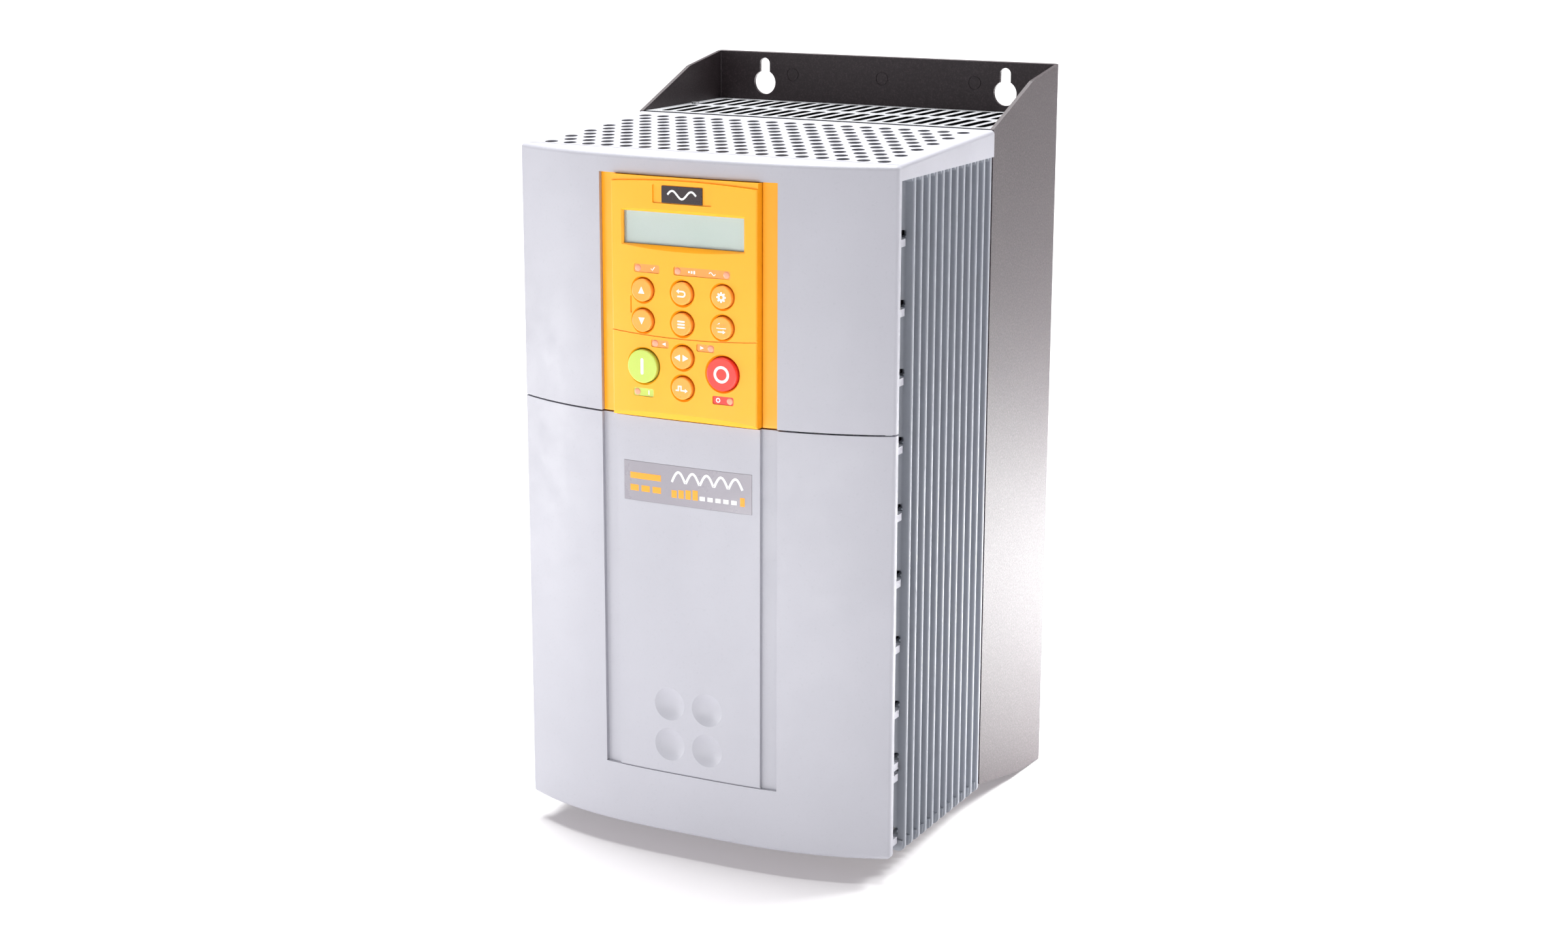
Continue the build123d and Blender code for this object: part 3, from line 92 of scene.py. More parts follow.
class Look:
    """A node material and the few node chains that the finishes share."""

    def __init__(self, name, colour, roughness, **shader):
        self.material = bpy.data.materials.new(name)
        self.material.use_nodes = True
        self.tree = self.material.node_tree
        self.shader = self.tree.nodes["Principled BSDF"]
        coordinates = self.tree.nodes.new("ShaderNodeTexCoord")
        self.place = coordinates.outputs["Object"]
        self.facing = coordinates.outputs["Normal"]
        self.colour = colour
        self.set("Base Color", colour)
        self.set("Roughness", roughness)
        for socket, value in shader.items():
            self.set(socket.replace("_", " "), value)

    def set(self, socket, value):
        self.shader.inputs[socket].default_value = value

    def link(self, output, target):
        self.tree.links.new(output, target)

    def stretched(self, stretch):
        """Object coordinates scaled by a different amount along each axis."""
        mapping = self.tree.nodes.new("ShaderNodeMapping")
        mapping.inputs["Scale"].default_value = stretch
        self.link(self.place, mapping.inputs["Vector"])
        return mapping.outputs["Vector"]

    def noise(self, scale, detail, stretch=None, lumps=0.5):
        """Cloudy pattern. More detail adds finer lumps, and a higher lumps value makes them stronger."""
        node = self.tree.nodes.new("ShaderNodeTexNoise")
        node.inputs["Scale"].default_value = scale
        node.inputs["Detail"].default_value = detail
        node.inputs["Roughness"].default_value = lumps
        self.link(self.stretched(stretch) if stretch else self.place, node.inputs["Vector"])
        return node.outputs["Fac"]

    def cells(self, scale, metric="EUCLIDEAN", stretch=None):
        """Distance from the nearest of many scattered points, as the metric measures it."""
        node = self.tree.nodes.new("ShaderNodeTexVoronoi")
        node.distance = metric
        node.inputs["Scale"].default_value = scale
        self.link(self.stretched(stretch) if stretch else self.place, node.inputs["Vector"])
        return node.outputs["Distance"]

    def spread(self, pattern, low, high, to_low=0.0, to_high=1.0):
        """Maps low..high of a pattern to to_low..to_high, clamped."""
        node = self.tree.nodes.new("ShaderNodeMapRange")
        for socket, value in zip(("From Min", "From Max", "To Min", "To Max"),
                                 (low, high, to_low, to_high)):
            node.inputs[socket].default_value = value
        self.link(pattern, node.inputs["Value"])
        return node.outputs["Result"]

    def tint(self, amount, other):
        """Blends the colour so far towards another, by an amount from 0 to 1."""
        node = self.tree.nodes.new("ShaderNodeMix")
        node.data_type = "RGBA"
        base = self.shader.inputs["Base Color"]
        if base.links:
            self.link(base.links[0].from_socket, node.inputs[MIX_FIRST_COLOUR_IN])
        else:
            node.inputs[MIX_FIRST_COLOUR_IN].default_value = self.colour
        node.inputs[MIX_SECOND_COLOUR_IN].default_value = other
        self.link(amount, node.inputs[MIX_FACTOR_IN])
        self.link(node.outputs[MIX_COLOUR_OUT], base)

    def shine(self, pattern, low, high):
        """Lets a noise pattern carry the roughness from low to high."""
        self.link(self.spread(pattern, *NOISE_RANGE, low, high), self.shader.inputs["Roughness"])

    def bump(self, pattern, height, strength):
        """Raises the surface where a pattern is high."""
        node = self.tree.nodes.new("ShaderNodeBump")
        node.inputs["Distance"].default_value = height
        node.inputs["Strength"].default_value = strength
        self.link(pattern, node.inputs["Height"])
        self.link(node.outputs["Normal"], self.shader.inputs["Normal"])


def shade(colour, factor):
    """The same colour, lighter or darker."""
    return tuple(v * factor for v in colour[:3]) + (1.0,)


def moulded(name, colour, roughness, grain=2600.0, depth=0.00004, **shader):
    """Spark-eroded plastic: fine grain, faint flow clouds, and handling marks in the gloss."""
    look = Look(name, colour, roughness, **shader)
    flow_clouds = look.noise(14.0, 3.0)
    grain_clusters = look.noise(grain / 3, 1.0)
    handling = look.noise(60.0, 5.0, lumps=0.7)
    look.tint(look.spread(flow_clouds, 0.35, 0.75), shade(colour, 0.94))
    look.tint(look.spread(grain_clusters, 0.62, 0.80, to_high=0.35), shade(colour, 0.85))
    look.shine(handling, roughness - 0.07, roughness + 0.09)
    look.bump(look.noise(grain, 2.0), depth, 0.6)
    return look


def translucent(name, colour, glow):
    """Key and label plastic that light soaks into. glow is the share of the scale that each of
    red, green and blue light spreads."""
    return moulded(name, colour, 0.32, 4200.0, 0.00001, Subsurface_Weight=0.25,
                   Subsurface_Scale=0.002, Subsurface_Radius=glow)


def metal(name, colour, roughness, stretch):
    """Rolled or drawn metal with fine lines one way, and patches of dulled surface."""
    look = Look(name, colour, roughness, Metallic=1.0)
    lines = look.noise(900.0, 2.0, stretch)
    dull_patches = look.noise(30.0, 4.0)
    look.tint(look.spread(dull_patches, 0.45, 0.75), shade(colour, 0.80))
    look.shine(lines, roughness - 0.08, roughness + 0.12)
    look.bump(lines, 0.00002, 0.5)
    return look


def powder_coat(name, colour, roughness, depth):
    """Baked paint with an orange-peel skin and a fine pale speckle."""
    look = Look(name, colour, roughness)
    speckle = look.noise(1300.0, 2.0)
    rubbed_patches = look.noise(70.0, 5.0)
    peel = 1100.0
    look.tint(look.spread(speckle, 0.50, 0.72), shade(colour, 1.9))
    look.tint(look.spread(rubbed_patches, 0.62, 0.80, to_high=0.25), shade(colour, 1.3))
    look.shine(look.noise(peel, 3.0), roughness - 0.06, roughness + 0.08)
    look.bump(look.noise(peel, 2.0), depth, 0.6)
    return look


def sheet_with_painted_slot_shade(name, colour, roughness):
    """Powder-coated level sheet: the faces that look up keep the pale paint, and the faces turned sideways
    or down, the punched slot walls, are tinted near black as painted shade that stands in for the shade
    inside the slots.
    """
    look = powder_coat(name, colour, roughness, 0.00003)
    split = look.tree.nodes.new("ShaderNodeSeparateXYZ")
    look.link(look.facing, split.inputs["Vector"])
    # Painted shade: faces that do not look up are blended to near black, where shade falls inside the
    # slots.
    look.tint(look.spread(split.outputs["Z"], 0.7, 0.3), srgb(24, 24, 27))
    return look


def laminate(name):
    """Circuit board: solder mask over routed copper, with small round pads."""
    look = Look(name, srgb(18, 92, 50), 0.35, Coat_Weight=0.4, Coat_Roughness=0.2)
    through_board = (1.0, 0.02, 1.0)
    tracks = look.cells(190.0, "MANHATTAN", through_board)
    pads = look.cells(320.0, stretch=through_board)
    look.tint(look.spread(tracks, 0.46, 0.50), srgb(38, 128, 70))
    look.tint(look.spread(pads, 0.17, 0.13), srgb(196, 190, 170))
    look.shine(look.noise(300.0, 3.0), 0.28, 0.42)
    look.bump(tracks, 0.00005, 0.6)
    return look


def rubber(name, colour):
    """Matt rubber with a dusty bloom."""
    look = Look(name, colour, 0.75, Sheen_Weight=0.2, Sheen_Roughness=0.5)
    bloom = look.noise(90.0, 4.0)
    look.tint(look.spread(bloom, 0.5, 0.8), shade(colour, 1.8))
    look.shine(look.noise(200.0, 3.0), 0.65, 0.85)
    look.bump(look.noise(1500.0, 2.0), 0.00004, 0.6)
    return look


def clear(name, colour):
    """Clear moulding with faint ripples and light scuffs."""
    look = Look(name, colour, 0.06, Transmission_Weight=1.0, IOR=1.49)
    scuffs = look.noise(120.0, 5.0, lumps=0.7)
    ripples = look.noise(35.0, 1.0)
    look.shine(scuffs, 0.02, 0.12)
    look.bump(ripples, 0.00004, 0.2)
    return look


def display(name):
    """Blank liquid-crystal glass with a faint painted glow that brightens it, and clouds of a paler tone.
    """
    colour = srgb(240, 247, 236)
    # Painted light: a weak emission in the glass's own colour makes the blank display glow.
    look = Look(name, colour, 0.12, Coat_Weight=0.6, Coat_Roughness=0.05,
                Emission_Color=colour, Emission_Strength=0.06)
    look.tint(look.spread(look.noise(40.0, 2.0), 0.3, 0.8), srgb(248, 251, 244))
    look.shine(look.noise(200.0, 3.0), 0.08, 0.18)
    look.bump(look.noise(60.0, 1.0), 0.00001, 0.2)
    return look


def spangle(name, colour):
    """Zinc plate: soft crystal patches with a thin yellow and blue cast."""
    look = Look(name, colour, 0.34, Metallic=1.0)
    crystals = look.cells(70.0)
    yellow_cast = look.noise(18.0, 3.0)
    look.tint(look.spread(crystals, 0.2, 0.9, to_high=0.5), srgb(150, 156, 168))
    look.tint(look.spread(yellow_cast, 0.5, 0.8, to_high=0.5), srgb(206, 198, 164))
    look.shine(look.noise(160.0, 4.0), 0.26, 0.44)
    look.bump(look.noise(500.0, 2.0), 0.00002, 0.5)
    return look


# Stretches that draw a metal's lines out along an axis.
ALONG_Z, ALONG_Z_FINE, ALONG_Y = (1.0, 1.0, 0.06), (1.0, 1.0, 0.02), (1.0, 0.05, 1.0)
FINISHES = {
    "cover_plastic": lambda n: moulded(n, srgb(176, 176, 184), 0.46),
    "panel_plastic": lambda n: moulded(n, srgb(148, 152, 160), 0.44),
    "bracket_paint": lambda n: powder_coat(n, srgb(56, 47, 50), 0.44, 0.00004),
    "grille_metal": lambda n: sheet_with_painted_slot_shade(n, srgb(162, 163, 166), 0.40),
    "zinc_steel": lambda n: spangle(n, srgb(184, 187, 190)),
    "bright_steel": lambda n: metal(n, srgb(206, 206, 208), 0.26, ALONG_Z),
    "heatsink_aluminium": lambda n: metal(n, srgb(62, 62, 66), 0.46, ALONG_Z_FINE),
    "yellow_brass": lambda n: metal(n, srgb(206, 172, 96), 0.28, ALONG_Z),
    "copper_bar": lambda n: metal(n, srgb(206, 132, 98), 0.32, ALONG_Y),
    "black_plastic": lambda n: moulded(n, srgb(34, 34, 36), 0.48, 1800.0),
    "module_plastic": lambda n: moulded(n, srgb(52, 52, 56), 0.55, 1500.0),
    "terminal_plastic": lambda n: moulded(n, srgb(62, 62, 66), 0.50, 1500.0),
    "orange_plastic": lambda n: moulded(n, srgb(255, 174, 22), 0.42, 3000.0, 0.00002),
    "badge_film": lambda n: moulded(n, srgb(150, 146, 154), 0.30, 3500.0, 0.00001),
    "dark_plate": lambda n: moulded(n, srgb(46, 34, 38), 0.26, 3500.0, 0.00001),
    "capacitor_plastic": lambda n: moulded(n, srgb(176, 40, 34), 0.30, 2000.0),
    "green_terminal": lambda n: moulded(n, srgb(46, 128, 70), 0.42, 2000.0),
    "ribbon_grey": lambda n: moulded(n, srgb(150, 152, 156), 0.50, 1200.0),
    "black_rubber": lambda n: rubber(n, srgb(26, 26, 28)),
    "silicone_rubber": lambda n: rubber(n, srgb(205, 202, 190)),
    "clear_plastic": lambda n: clear(n, srgb(240, 246, 246)),
    "board_laminate": laminate,
    "lcd_glass": display,
    "amber_label": lambda n: translucent(n, srgb(255, 158, 74), (1.0, 0.5, 0.2)),
    "amber_key": lambda n: translucent(n, srgb(255, 168, 66), (1.0, 0.5, 0.2)),
    "green_key": lambda n: translucent(n, srgb(196, 216, 98), (0.6, 1.0, 0.2)),
    "red_key": lambda n: translucent(n, srgb(246, 62, 52), (1.0, 0.2, 0.15)),
}
LOOKS = {slot: make(f"{slot}_finish").material for slot, make in FINISHES.items()}
SLOT_OF = {name: node.material_slots[0].material.name for name, node in NODES.items()}
for name, node in NODES.items():
    node.material_slots[0].material = LOOKS[SLOT_OF[name]]

INK_GRAIN, INK_DEPTH = 4000.0, 0.000005
WHITE_INK = moulded("white_ink", srgb(250, 250, 250), 0.45, INK_GRAIN, INK_DEPTH).material
ORANGE_INK = moulded("orange_ink", srgb(255, 160, 20), 0.40, INK_GRAIN, INK_DEPTH).material
LAMP_LENS = translucent("lamp_lens", srgb(250, 164, 132), (1.0, 0.5, 0.4)).material
LAMP_CUP = moulded("lamp_cup", srgb(236, 196, 176), 0.25, INK_GRAIN, INK_DEPTH).material


# ---- Printed marks --------------------------------------------------------
# Loops are closed outlines of (x, z) in millimetres; a loop inside another is a hole. Every other
# length in this section is in millimetres too.

MARK_THICK = 0.05
MARK_PROUD = 0.03       # from the surface to the middle of a mark's thickness
WELD = 0.001            # points nearer than this are one point
BADGE_BEND_STEP = 2.0
RAY_RUN_UP = 1000.0     # from where a ray starts to the front of the drive
UP, LEFT, DOWN, RIGHT = 0, 90, 180, 270
Box = namedtuple("Box", "x z width height")


def box_loop(x, z, width, height):
    """Box about its middle."""
    a, b = width / 2, height / 2
    return [(x - a, z - b), (x + a, z - b), (x + a, z + b), (x - a, z + b)]


def circle_loop(x, z, radius, steps=48):
    """Circle of short straight steps."""
    return [(x + radius * math.cos(2 * math.pi * i / steps),
             z + radius * math.sin(2 * math.pi * i / steps)) for i in range(steps)]


def pill_loop(x, z, width, height, steps=10):
    """Box with fully rounded ends along its longer side."""
    radius = min(width, height) / 2
    points = []
    for corner_x, corner_z, start in ((1, 1, 0), (-1, 1, 90), (-1, -1, 180), (1, -1, 270)):
        for i in range(steps + 1):
            angle = math.radians(start + 90 * i / steps)
            points.append((x + corner_x * (width / 2 - radius) + radius * math.cos(angle),
                           z + corner_z * (height / 2 - radius) + radius * math.sin(angle)))
    return points


def row_loops(x, z, width, height, pitch, count):
    """Boxes in a row, from the middle of the first one."""
    return [box_loop(x + pitch * i, z, width, height) for i in range(count)]


def arrow_loop(x, z, width, height, turn):
    """Triangle that points up, turned by an angle in degrees."""
    angle = math.radians(turn)
    corners = ((-width / 2, -height / 2), (width / 2, -height / 2), (0, height / 2))
    return [(x + a * math.cos(angle) - b * math.sin(angle),
             z + a * math.sin(angle) + b * math.cos(angle)) for a, b in corners]


def stroke_loop(points, width):
    """Outline of a line of one width through points."""
    left, right = [], []
    for i, (x, z) in enumerate(points):
        before = points[max(i - 1, 0)]
        after = points[min(i + 1, len(points) - 1)]
        along = Vector((after[0] - before[0], after[1] - before[1])).normalized()
        left.append((x - along.y * width / 2, z + along.x * width / 2))
        right.append((x + along.y * width / 2, z - along.x * width / 2))
    return left + right[::-1]


def arc_points(x, z, radius, start, end, steps=20):
    """Points along an arc, from one angle in degrees to another."""
    angles = [math.radians(start + (end - start) * i / steps) for i in range(steps + 1)]
    return [(x + radius * math.cos(a), z + radius * math.sin(a)) for a in angles]


def wave_points(x, z, width, height, turns, steps=40):
    """Points along a sine wave, which starts on its middle line and rises first."""
    return [(x + width * (i / steps - 0.5), z + height / 2 * math.sin(2 * math.pi * turns * i / steps))
            for i in range(steps + 1)]


def gear_loops(x, z, radius, teeth=8):
    """Toothed outline and its hole. foot and tip are half a tooth's widths, as shares of the pitch."""
    root, hole, foot, tip = 0.74 * radius, 0.34 * radius, 0.30, 0.20
    outline = []
    for i in range(teeth):
        for step, reach in ((-foot, root), (-tip, radius), (tip, radius), (foot, root)):
            angle = 2 * math.pi * (i + step) / teeth
            outline.append((x + reach * math.cos(angle), z + reach * math.sin(angle)))
    return [outline, circle_loop(x, z, hole, 24)]


def flat_fill(name, loops):
    """Thin plate with the given outlines, lying in X and Y of its own mesh."""
    curve = bpy.data.curves.new(name, "CURVE")
    curve.dimensions = "2D"
    curve.fill_mode = "BOTH"
    curve.extrude = MARK_THICK / 2
    for loop in loops:
        spline = curve.splines.new("POLY")
        spline.points.add(len(loop) - 1)
        for point, (x, z) in zip(spline.points, loop):
            point.co = (x, z, 0, 1)
        spline.use_cyclic_u = True
    source = bpy.data.objects.new(name, curve)
    mesh = bpy.data.meshes.new_from_object(source)
    bpy.data.objects.remove(source)
    bpy.data.curves.remove(curve)
    return mesh


def add_piece(name, mesh, material, body):
    """Shows a mesh as a piece with one material, which rides on a body."""
    piece = bpy.data.objects.new(name, mesh)
    bpy.context.scene.collection.objects.link(piece)
    piece.data.materials.clear()
    piece.data.materials.append(material)
    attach(piece, body)


def middle(node):
    """Centre of a CAD node, seen from the front."""
    low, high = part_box(node)
    return (low.x + high.x) / 2 / MM, (low.z + high.z) / 2 / MM


def surface_of(node):
    """A function that gives the depth of a CAD node's front at (x, z)."""
    mesh = NODES[node].data
    tree = BVHTree.FromPolygons([v.co for v in mesh.vertices], [p.vertices for p in mesh.polygons])
    start_y, backwards = DRIVE_LOW.y - RAY_RUN_UP * MM, Vector((0, 1, 0))

    def depth(x, z):
        hit = tree.ray_cast(Vector((x * MM, start_y, z * MM)), backwards)[0]
        return (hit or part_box(node)[0]).y / MM
    return depth


def tidied(mesh, work):
    """Writes a bmesh back to its mesh with its faces turned outwards."""
    bmesh.ops.recalc_face_normals(work, faces=work.faces)
    work.to_mesh(mesh)
    work.free()
    return mesh


def add_mark(name, loops, node, material, bend_step=None):
    """Prints outlines on the front of a CAD node. Cuts a bend_step apart let them follow a bowed face."""
    surface = surface_of(node)
    mesh = flat_fill(name, loops)
    work = bmesh.new()
    work.from_mesh(mesh)
    bmesh.ops.remove_doubles(work, verts=work.verts, dist=WELD)
    if bend_step:
        xs = [v.co.x for v in work.verts]
        x = min(xs) + bend_step
        while x < max(xs):
            geometry = work.verts[:] + work.edges[:] + work.faces[:]
            bmesh.ops.bisect_plane(work, geom=geometry, plane_co=(x, 0, 0), plane_no=(1, 0, 0))
            x += bend_step
    for vertex in work.verts:
        x, z, lift = vertex.co
        vertex.co = (x * MM, (surface(x, z) - MARK_PROUD - lift) * MM, z * MM)
    add_piece(name, tidied(mesh, work), material, NODES[node]["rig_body"])


def solid_boxes(node):
    """Boxes of a node's separate solids, in rows from the top left. x and z are a box's middle."""
    work = bmesh.new()
    work.from_mesh(NODES[node].data)
    bmesh.ops.remove_doubles(work, verts=work.verts, dist=WELD * MM)
    seen, boxes = set(), []
    for start in work.verts:
        if start in seen:
            continue
        seen.add(start)
        group, queue = [], [start]
        while queue:
            vertex = queue.pop()
            group.append(vertex.co / MM)
            near = [edge.other_vert(vertex) for edge in vertex.link_edges]
            queue += [other for other in near if other not in seen]
            seen.update(near)
        xs, zs = [co.x for co in group], [co.z for co in group]
        boxes.append(Box((min(xs) + max(xs)) / 2, (min(zs) + max(zs)) / 2,
                         max(xs) - min(xs), max(zs) - min(zs)))
    work.free()
    return sorted(boxes, key=lambda box: (-round(box.z), box.x))


def moved(loops, x, z):
    """The same outlines, moved right and up."""
    return [[(a + x, b + z) for a, b in loop] for loop in loops]


# Outlines of the marks on the keys, about the middle of a key.
JOG_PULSE = [(-3.1, -1.3), (-1.3, -1.3), (-1.3, 0.7), (-0.5, 0.7), (-0.5, -1.3), (1.75, -1.3), (1.75, -0.7),
             (0.1, -0.7), (0.1, 1.3), (-1.9, 1.3), (-1.9, -0.7), (-3.1, -0.7)]
KEY_MARKS = {
    "key_up": [arrow_loop(0, 0.1, 3.3, 3.3, UP)],
    "key_down": [arrow_loop(0, -0.1, 3.3, 3.3, DOWN)],
    "key_escape": [stroke_loop([(-1.0, 1.1), *arc_points(0.9, -0.1, 1.2, 90, -90), (-1.9, -1.3)], 0.7),
                   arrow_loop(-1.75, 1.1, 2.2, 1.45, LEFT)],
    "key_menu": [pill_loop(0, z, 4.0, 0.75) for z in (1.4, 0, -1.4)],
    "key_program": gear_loops(0, 0, 2.5),
    "key_local_remote": [box_loop(0, 0, 5.0, 0.35),
                         box_loop(0.5, 1.7, 2.6, 0.6), arrow_loop(-1.5, 1.7, 1.8, 1.4, LEFT),
                         box_loop(-0.5, -1.7, 2.6, 0.6), arrow_loop(1.5, -1.7, 1.8, 1.4, RIGHT)],
    "key_direction": [arrow_loop(-2.2, 0, 3.2, 3.0, LEFT), arrow_loop(2.2, 0, 3.2, 3.0, RIGHT)],
    "key_jog": [JOG_PULSE, arrow_loop(2.55, -1.0, 2.0, 1.5, RIGHT)],
    "key_start": [pill_loop(0, 0, 1.5, 7.8)],
    "key_stop": [circle_loop(0, 0, 4.05), circle_loop(0, 0, 2.75)],
}
LAMP_INSET = 1.95       # from the end of a label window to the middle of its lamp
LAMP_STEPS = 28
LAMP_CUP_RADIUS = 1.3
LAMP_PROFILE = ((1.60, -0.05), (1.60, 0.06), (1.45, 0.15), (1.15, 0.23), (0.70, 0.28), (0.25, 0.30))
# Marks in the label windows, and how far to the right each stands from the middle of its window.
TICK = stroke_loop([(-0.9, 0.1), (-0.2, -0.7), (1.1, 0.9)], 0.42)
STEPS = [box_loop(-1.4, 0, 0.8, 0.9), box_loop(0, 0, 0.8, 1.2), box_loop(1.4, 0, 0.8, 1.5)]
LEVEL = stroke_loop(wave_points(0, 0, 3.4, 1.3, 1.0), 0.42)
REVERSE_ARROW, FORWARD_ARROW = arrow_loop(0, 0, 1.7, 2.0, LEFT), arrow_loop(0, 0, 1.7, 2.0, RIGHT)
RUN_BAR = pill_loop(0, 0, 0.6, 2.2)
STOP_RING = [circle_loop(0, 0, radius, 32) for radius in (1.15, 0.65)]
TICK_SHIFT, STEPS_SHIFT, LEVEL_SHIFT = 3.0, -5.4, 5.4
REVERSE_SHIFT, FORWARD_SHIFT, RUN_SHIFT, STOP_SHIFT = 1.9, -1.9, 2.7, -2.7


def add_key_marks():
    """Prints each key's mark about the middle of its key."""
    for key, loops in KEY_MARKS.items():
        add_mark(f"{key}_mark", moved(loops, *middle(key)), key, WHITE_INK)


def lathe(profile, x, z, depth, steps):
    """Solid of revolution about Y. profile is (radius, height in front of depth), from rim to tip."""
    points = [(a * MM, (depth - rise) * MM, b * MM)
              for radius, rise in profile for a, b in circle_loop(x, z, radius, steps)]
    faces = []
    for ring in range(len(profile) - 1):
        for i in range(steps):
            a, b = ring * steps + i, ring * steps + (i + 1) % steps
            faces.append((a, b, b + steps, a + steps))
    faces += [tuple(range(steps)), tuple(range(len(points) - steps, len(points)))]
    return points, faces


def add_lamp(name, x, z, node):
    """Indicator lamp: a domed lens over a pale cup."""
    points, faces = lathe(LAMP_PROFILE, x, z, surface_of(node)(x, z), LAMP_STEPS)
    mesh = bpy.data.meshes.new(name)
    mesh.from_pydata(points, [], faces)
    work = bmesh.new()
    work.from_mesh(mesh)
    tidied(mesh, work)
    mesh.shade_smooth()
    add_piece(f"{name}_lens", mesh, LAMP_LENS, "keypad")
    add_mark(f"{name}_cup", [circle_loop(x, z, LAMP_CUP_RADIUS, LAMP_STEPS)], node, LAMP_CUP)


def add_windows():
    """Lamps at the ends of the label windows, and a white mark for what each one shows."""
    amber_node, green_node, red_node = "label_windows_amber", "label_window_green", "label_window_red"
    first, second, third, fourth = solid_boxes(amber_node)
    green, red = solid_boxes(green_node)[0], solid_boxes(red_node)[0]
    for name, box, side, node in (("lamp_healthy", first, -1, amber_node),
                                  ("lamp_sequence", second, -1, amber_node),
                                  ("lamp_reference", second, 1, amber_node),
                                  ("lamp_reverse", third, -1, amber_node),
                                  ("lamp_forward", fourth, 1, amber_node),
                                  ("lamp_run", green, -1, green_node),
                                  ("lamp_stop", red, 1, red_node)):
        add_lamp(name, box.x + side * (box.width / 2 - LAMP_INSET), box.z, node)
    amber_marks = [
        *moved([TICK], first.x + TICK_SHIFT, first.z),
        *moved(STEPS, second.x + STEPS_SHIFT, second.z),
        *moved([LEVEL], second.x + LEVEL_SHIFT, second.z),
        *moved([REVERSE_ARROW], third.x + REVERSE_SHIFT, third.z),
        *moved([FORWARD_ARROW], fourth.x + FORWARD_SHIFT, fourth.z),
    ]
    add_mark("window_marks", amber_marks, amber_node, WHITE_INK)
    add_mark("run_window_mark", moved([RUN_BAR], green.x + RUN_SHIFT, green.z), green_node, WHITE_INK)
    add_mark("stop_window_mark", moved(STOP_RING, red.x + STOP_SHIFT, red.z), red_node, WHITE_INK)


def add_nameplate_mark():
    """A plain wave of one and a half turns."""
    x, z = middle("keypad_nameplate")
    width, height, turns, line = 15.0, 3.6, 1.5, 0.9
    wave = stroke_loop(wave_points(x, z, width, height, turns), line)
    add_mark("keypad_nameplate_mark", [wave], "keypad_nameplate", WHITE_INK)


def add_badge_marks():
    """Direct-current symbol in orange; rectified waves and a speed scale beside it."""
    x, z = middle("badge_plate")
    symbol_bar = box_loop(x - 22.5, z + 2.6, 17.0, 3.0)
    symbol_dashes = row_loops(x - 28.7, z - 3.4, 4.6, 3.0, pitch=6.2, count=3)
    rising_bars = []
    for i in range(4):
        foot, height = z - 5.9, 3.6 + 0.4 * i
        rising_bars.append(box_loop(x - 6.8 + 3.8 * i, foot + height / 2, 2.8, height))
    end_bar = box_loop(x + 29.6, z - 4.0, 2.4, 4.2)
    half_waves = []
    for i in range(5):
        half_wave = wave_points(x - 4.4 + 7.6 * i, z + 1.7, width=7.2, height=10.0, turns=0.5)
        half_waves.append(stroke_loop(half_wave, 1.15))
    scale_boxes = row_loops(x + 8.4, z - 4.7, 2.8, 2.0, pitch=4.2, count=5)
    orange = [symbol_bar, *symbol_dashes, *rising_bars, end_bar]
    white = [*half_waves, *scale_boxes]
    add_mark("badge_mark_orange", orange, "badge_plate", ORANGE_INK, BADGE_BEND_STEP)
    add_mark("badge_mark_white", white, "badge_plate", WHITE_INK, BADGE_BEND_STEP)


add_key_marks()
add_windows()
add_nameplate_mark()
add_badge_marks()


# ---- Studio ---------------------------------------------------------------
# Lengths here are in metres.

FLOOR_REACH = 14.0
FLOOR_GAP = 0.0002


def floor_finish():
    """Pale matt floor with a faint glow of its own, which keeps shadows soft."""
    look = Look("studio_floor", (0.50, 0.50, 0.503, 1.0), 0.6,
                Emission_Color=(1.0, 0.93, 0.97, 1.0), Emission_Strength=0.30)
    look.tint(look.spread(look.noise(1.5, 3.0), 0.3, 0.8), (0.48, 0.48, 0.485, 1.0))
    look.bump(look.noise(400.0, 2.0), 0.00005, 0.2)
    return look.material


def add_floor():
    """A wide square just under the drive."""
    mesh = bpy.data.meshes.new("studio_floor")
    corners = [(x * FLOOR_REACH, y * FLOOR_REACH, 0) for x, y in ((-1, -1), (1, -1), (1, 1), (-1, 1))]
    mesh.from_pydata(corners, [], [(0, 1, 2, 3)])
    floor = bpy.data.objects.new("studio_floor", mesh)
    floor.location.z = DRIVE_LOW.z - FLOOR_GAP
    floor.data.materials.append(floor_finish())
    bpy.context.scene.collection.objects.link(floor)


def add_light(name, kind, place, target, strength, **shape):
    """A light at a place, turned to face a target, and hidden from the camera."""
    data = bpy.data.lights.new(name, kind)
    data.energy = strength
    for key, value in shape.items():
        setattr(data, key, value)
    light = bpy.data.objects.new(name, data)
    light.location = place
    light.rotation_euler = (Vector(target) - Vector(place)).to_track_quat("-Z", "Y").to_euler()
    light.visible_camera = False
    bpy.context.scene.collection.objects.link(light)


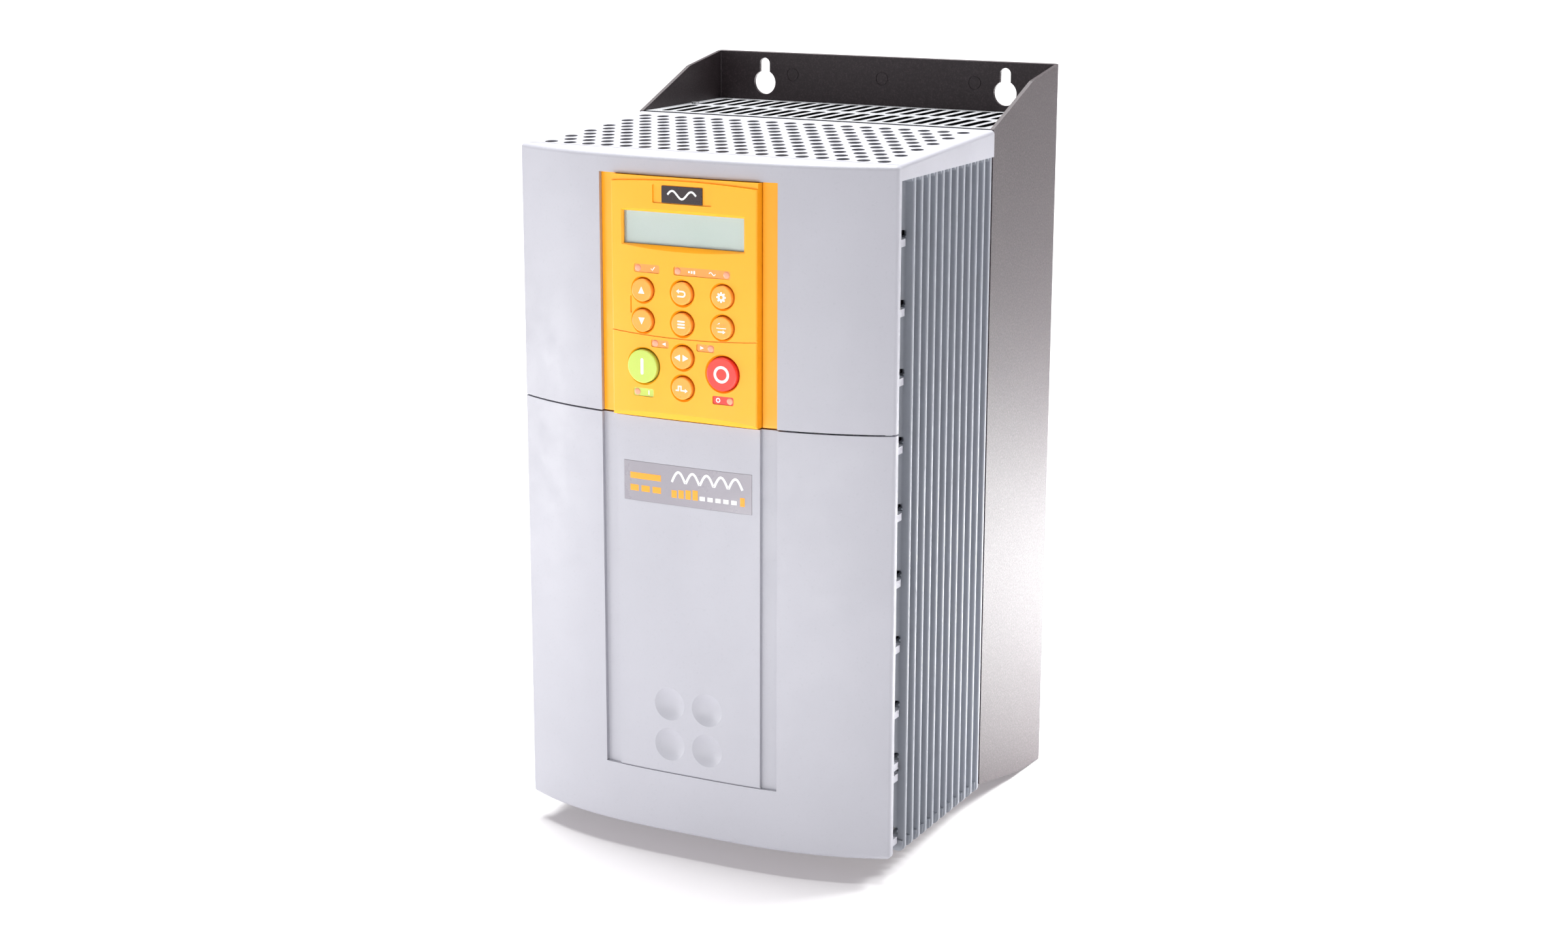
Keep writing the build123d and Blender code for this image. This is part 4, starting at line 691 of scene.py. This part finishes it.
def add_world():
    """Even white room. The camera sees it brighter than it lights, so that it stays white."""
    light_level, seen_level = 0.25, 1.0
    world = bpy.data.worlds.new("studio_world")
    world.use_nodes = True
    tree = world.node_tree
    rays = tree.nodes.new("ShaderNodeLightPath")
    level = tree.nodes.new("ShaderNodeMapRange")
    level.inputs["To Min"].default_value = light_level
    level.inputs["To Max"].default_value = seen_level
    background = tree.nodes["Background"].inputs
    background["Color"].default_value = (0.985, 0.985, 1.0, 1.0)
    tree.links.new(rays.outputs["Is Camera Ray"], level.inputs["Value"])
    tree.links.new(level.outputs["Result"], background["Strength"])
    bpy.context.scene.world = world


def add_lights():
    """A broad sun from above, two low softboxes for the front, and one that lights the floor behind."""
    centre = (DRIVE_LOW + DRIVE_HIGH) / 2
    add_light("key_sun", "SUN", place=(-0.18, 0.24, 1.5), target=centre, strength=8.0,
              angle=math.radians(40))
    add_light("left_softbox", "AREA", place=(-0.80, -0.47, 0.04), target=(-0.05, -0.1, 0.02),
              strength=3.2, shape="RECTANGLE", size=0.6, size_y=0.12)
    add_light("front_softbox", "AREA", place=(0.02, -0.62, 0.03), target=(0.0, 0.0, 0.03),
              strength=1.2, shape="RECTANGLE", size=0.5, size_y=0.05)
    add_light("floor_softbox", "AREA", place=(0.46, 0.60, 0.50), target=(0.34, 0.50, 0.0),
              strength=23.5, shape="RECTANGLE", size=0.5, size_y=0.5, spread=math.radians(80))


def add_camera():
    """Camera to the front and right of the drive, a little above it."""
    azimuth, elevation, roll = (math.radians(a) for a in (27.06, 13.63, 0.18))
    distance = 1.2909
    target = Vector((-0.0024, 0.0, 0.1732))
    back = Vector((math.sin(azimuth) * math.cos(elevation),
                   -math.cos(azimuth) * math.cos(elevation), math.sin(elevation)))
    data = bpy.data.cameras.new("camera")
    data.sensor_width = 36.0
    data.lens = 58.11
    camera = bpy.data.objects.new("camera", data)
    turn = (-back).to_track_quat("-Z", "Y").to_matrix() @ Matrix.Rotation(roll, 3, "Z")
    camera.matrix_world = Matrix.Translation(target + back * distance) @ turn.to_4x4()
    bpy.context.scene.collection.objects.link(camera)
    bpy.context.scene.camera = camera


add_floor()
add_world()
add_lights()
add_camera()
bpy.context.scene.view_settings.view_transform = "Standard"
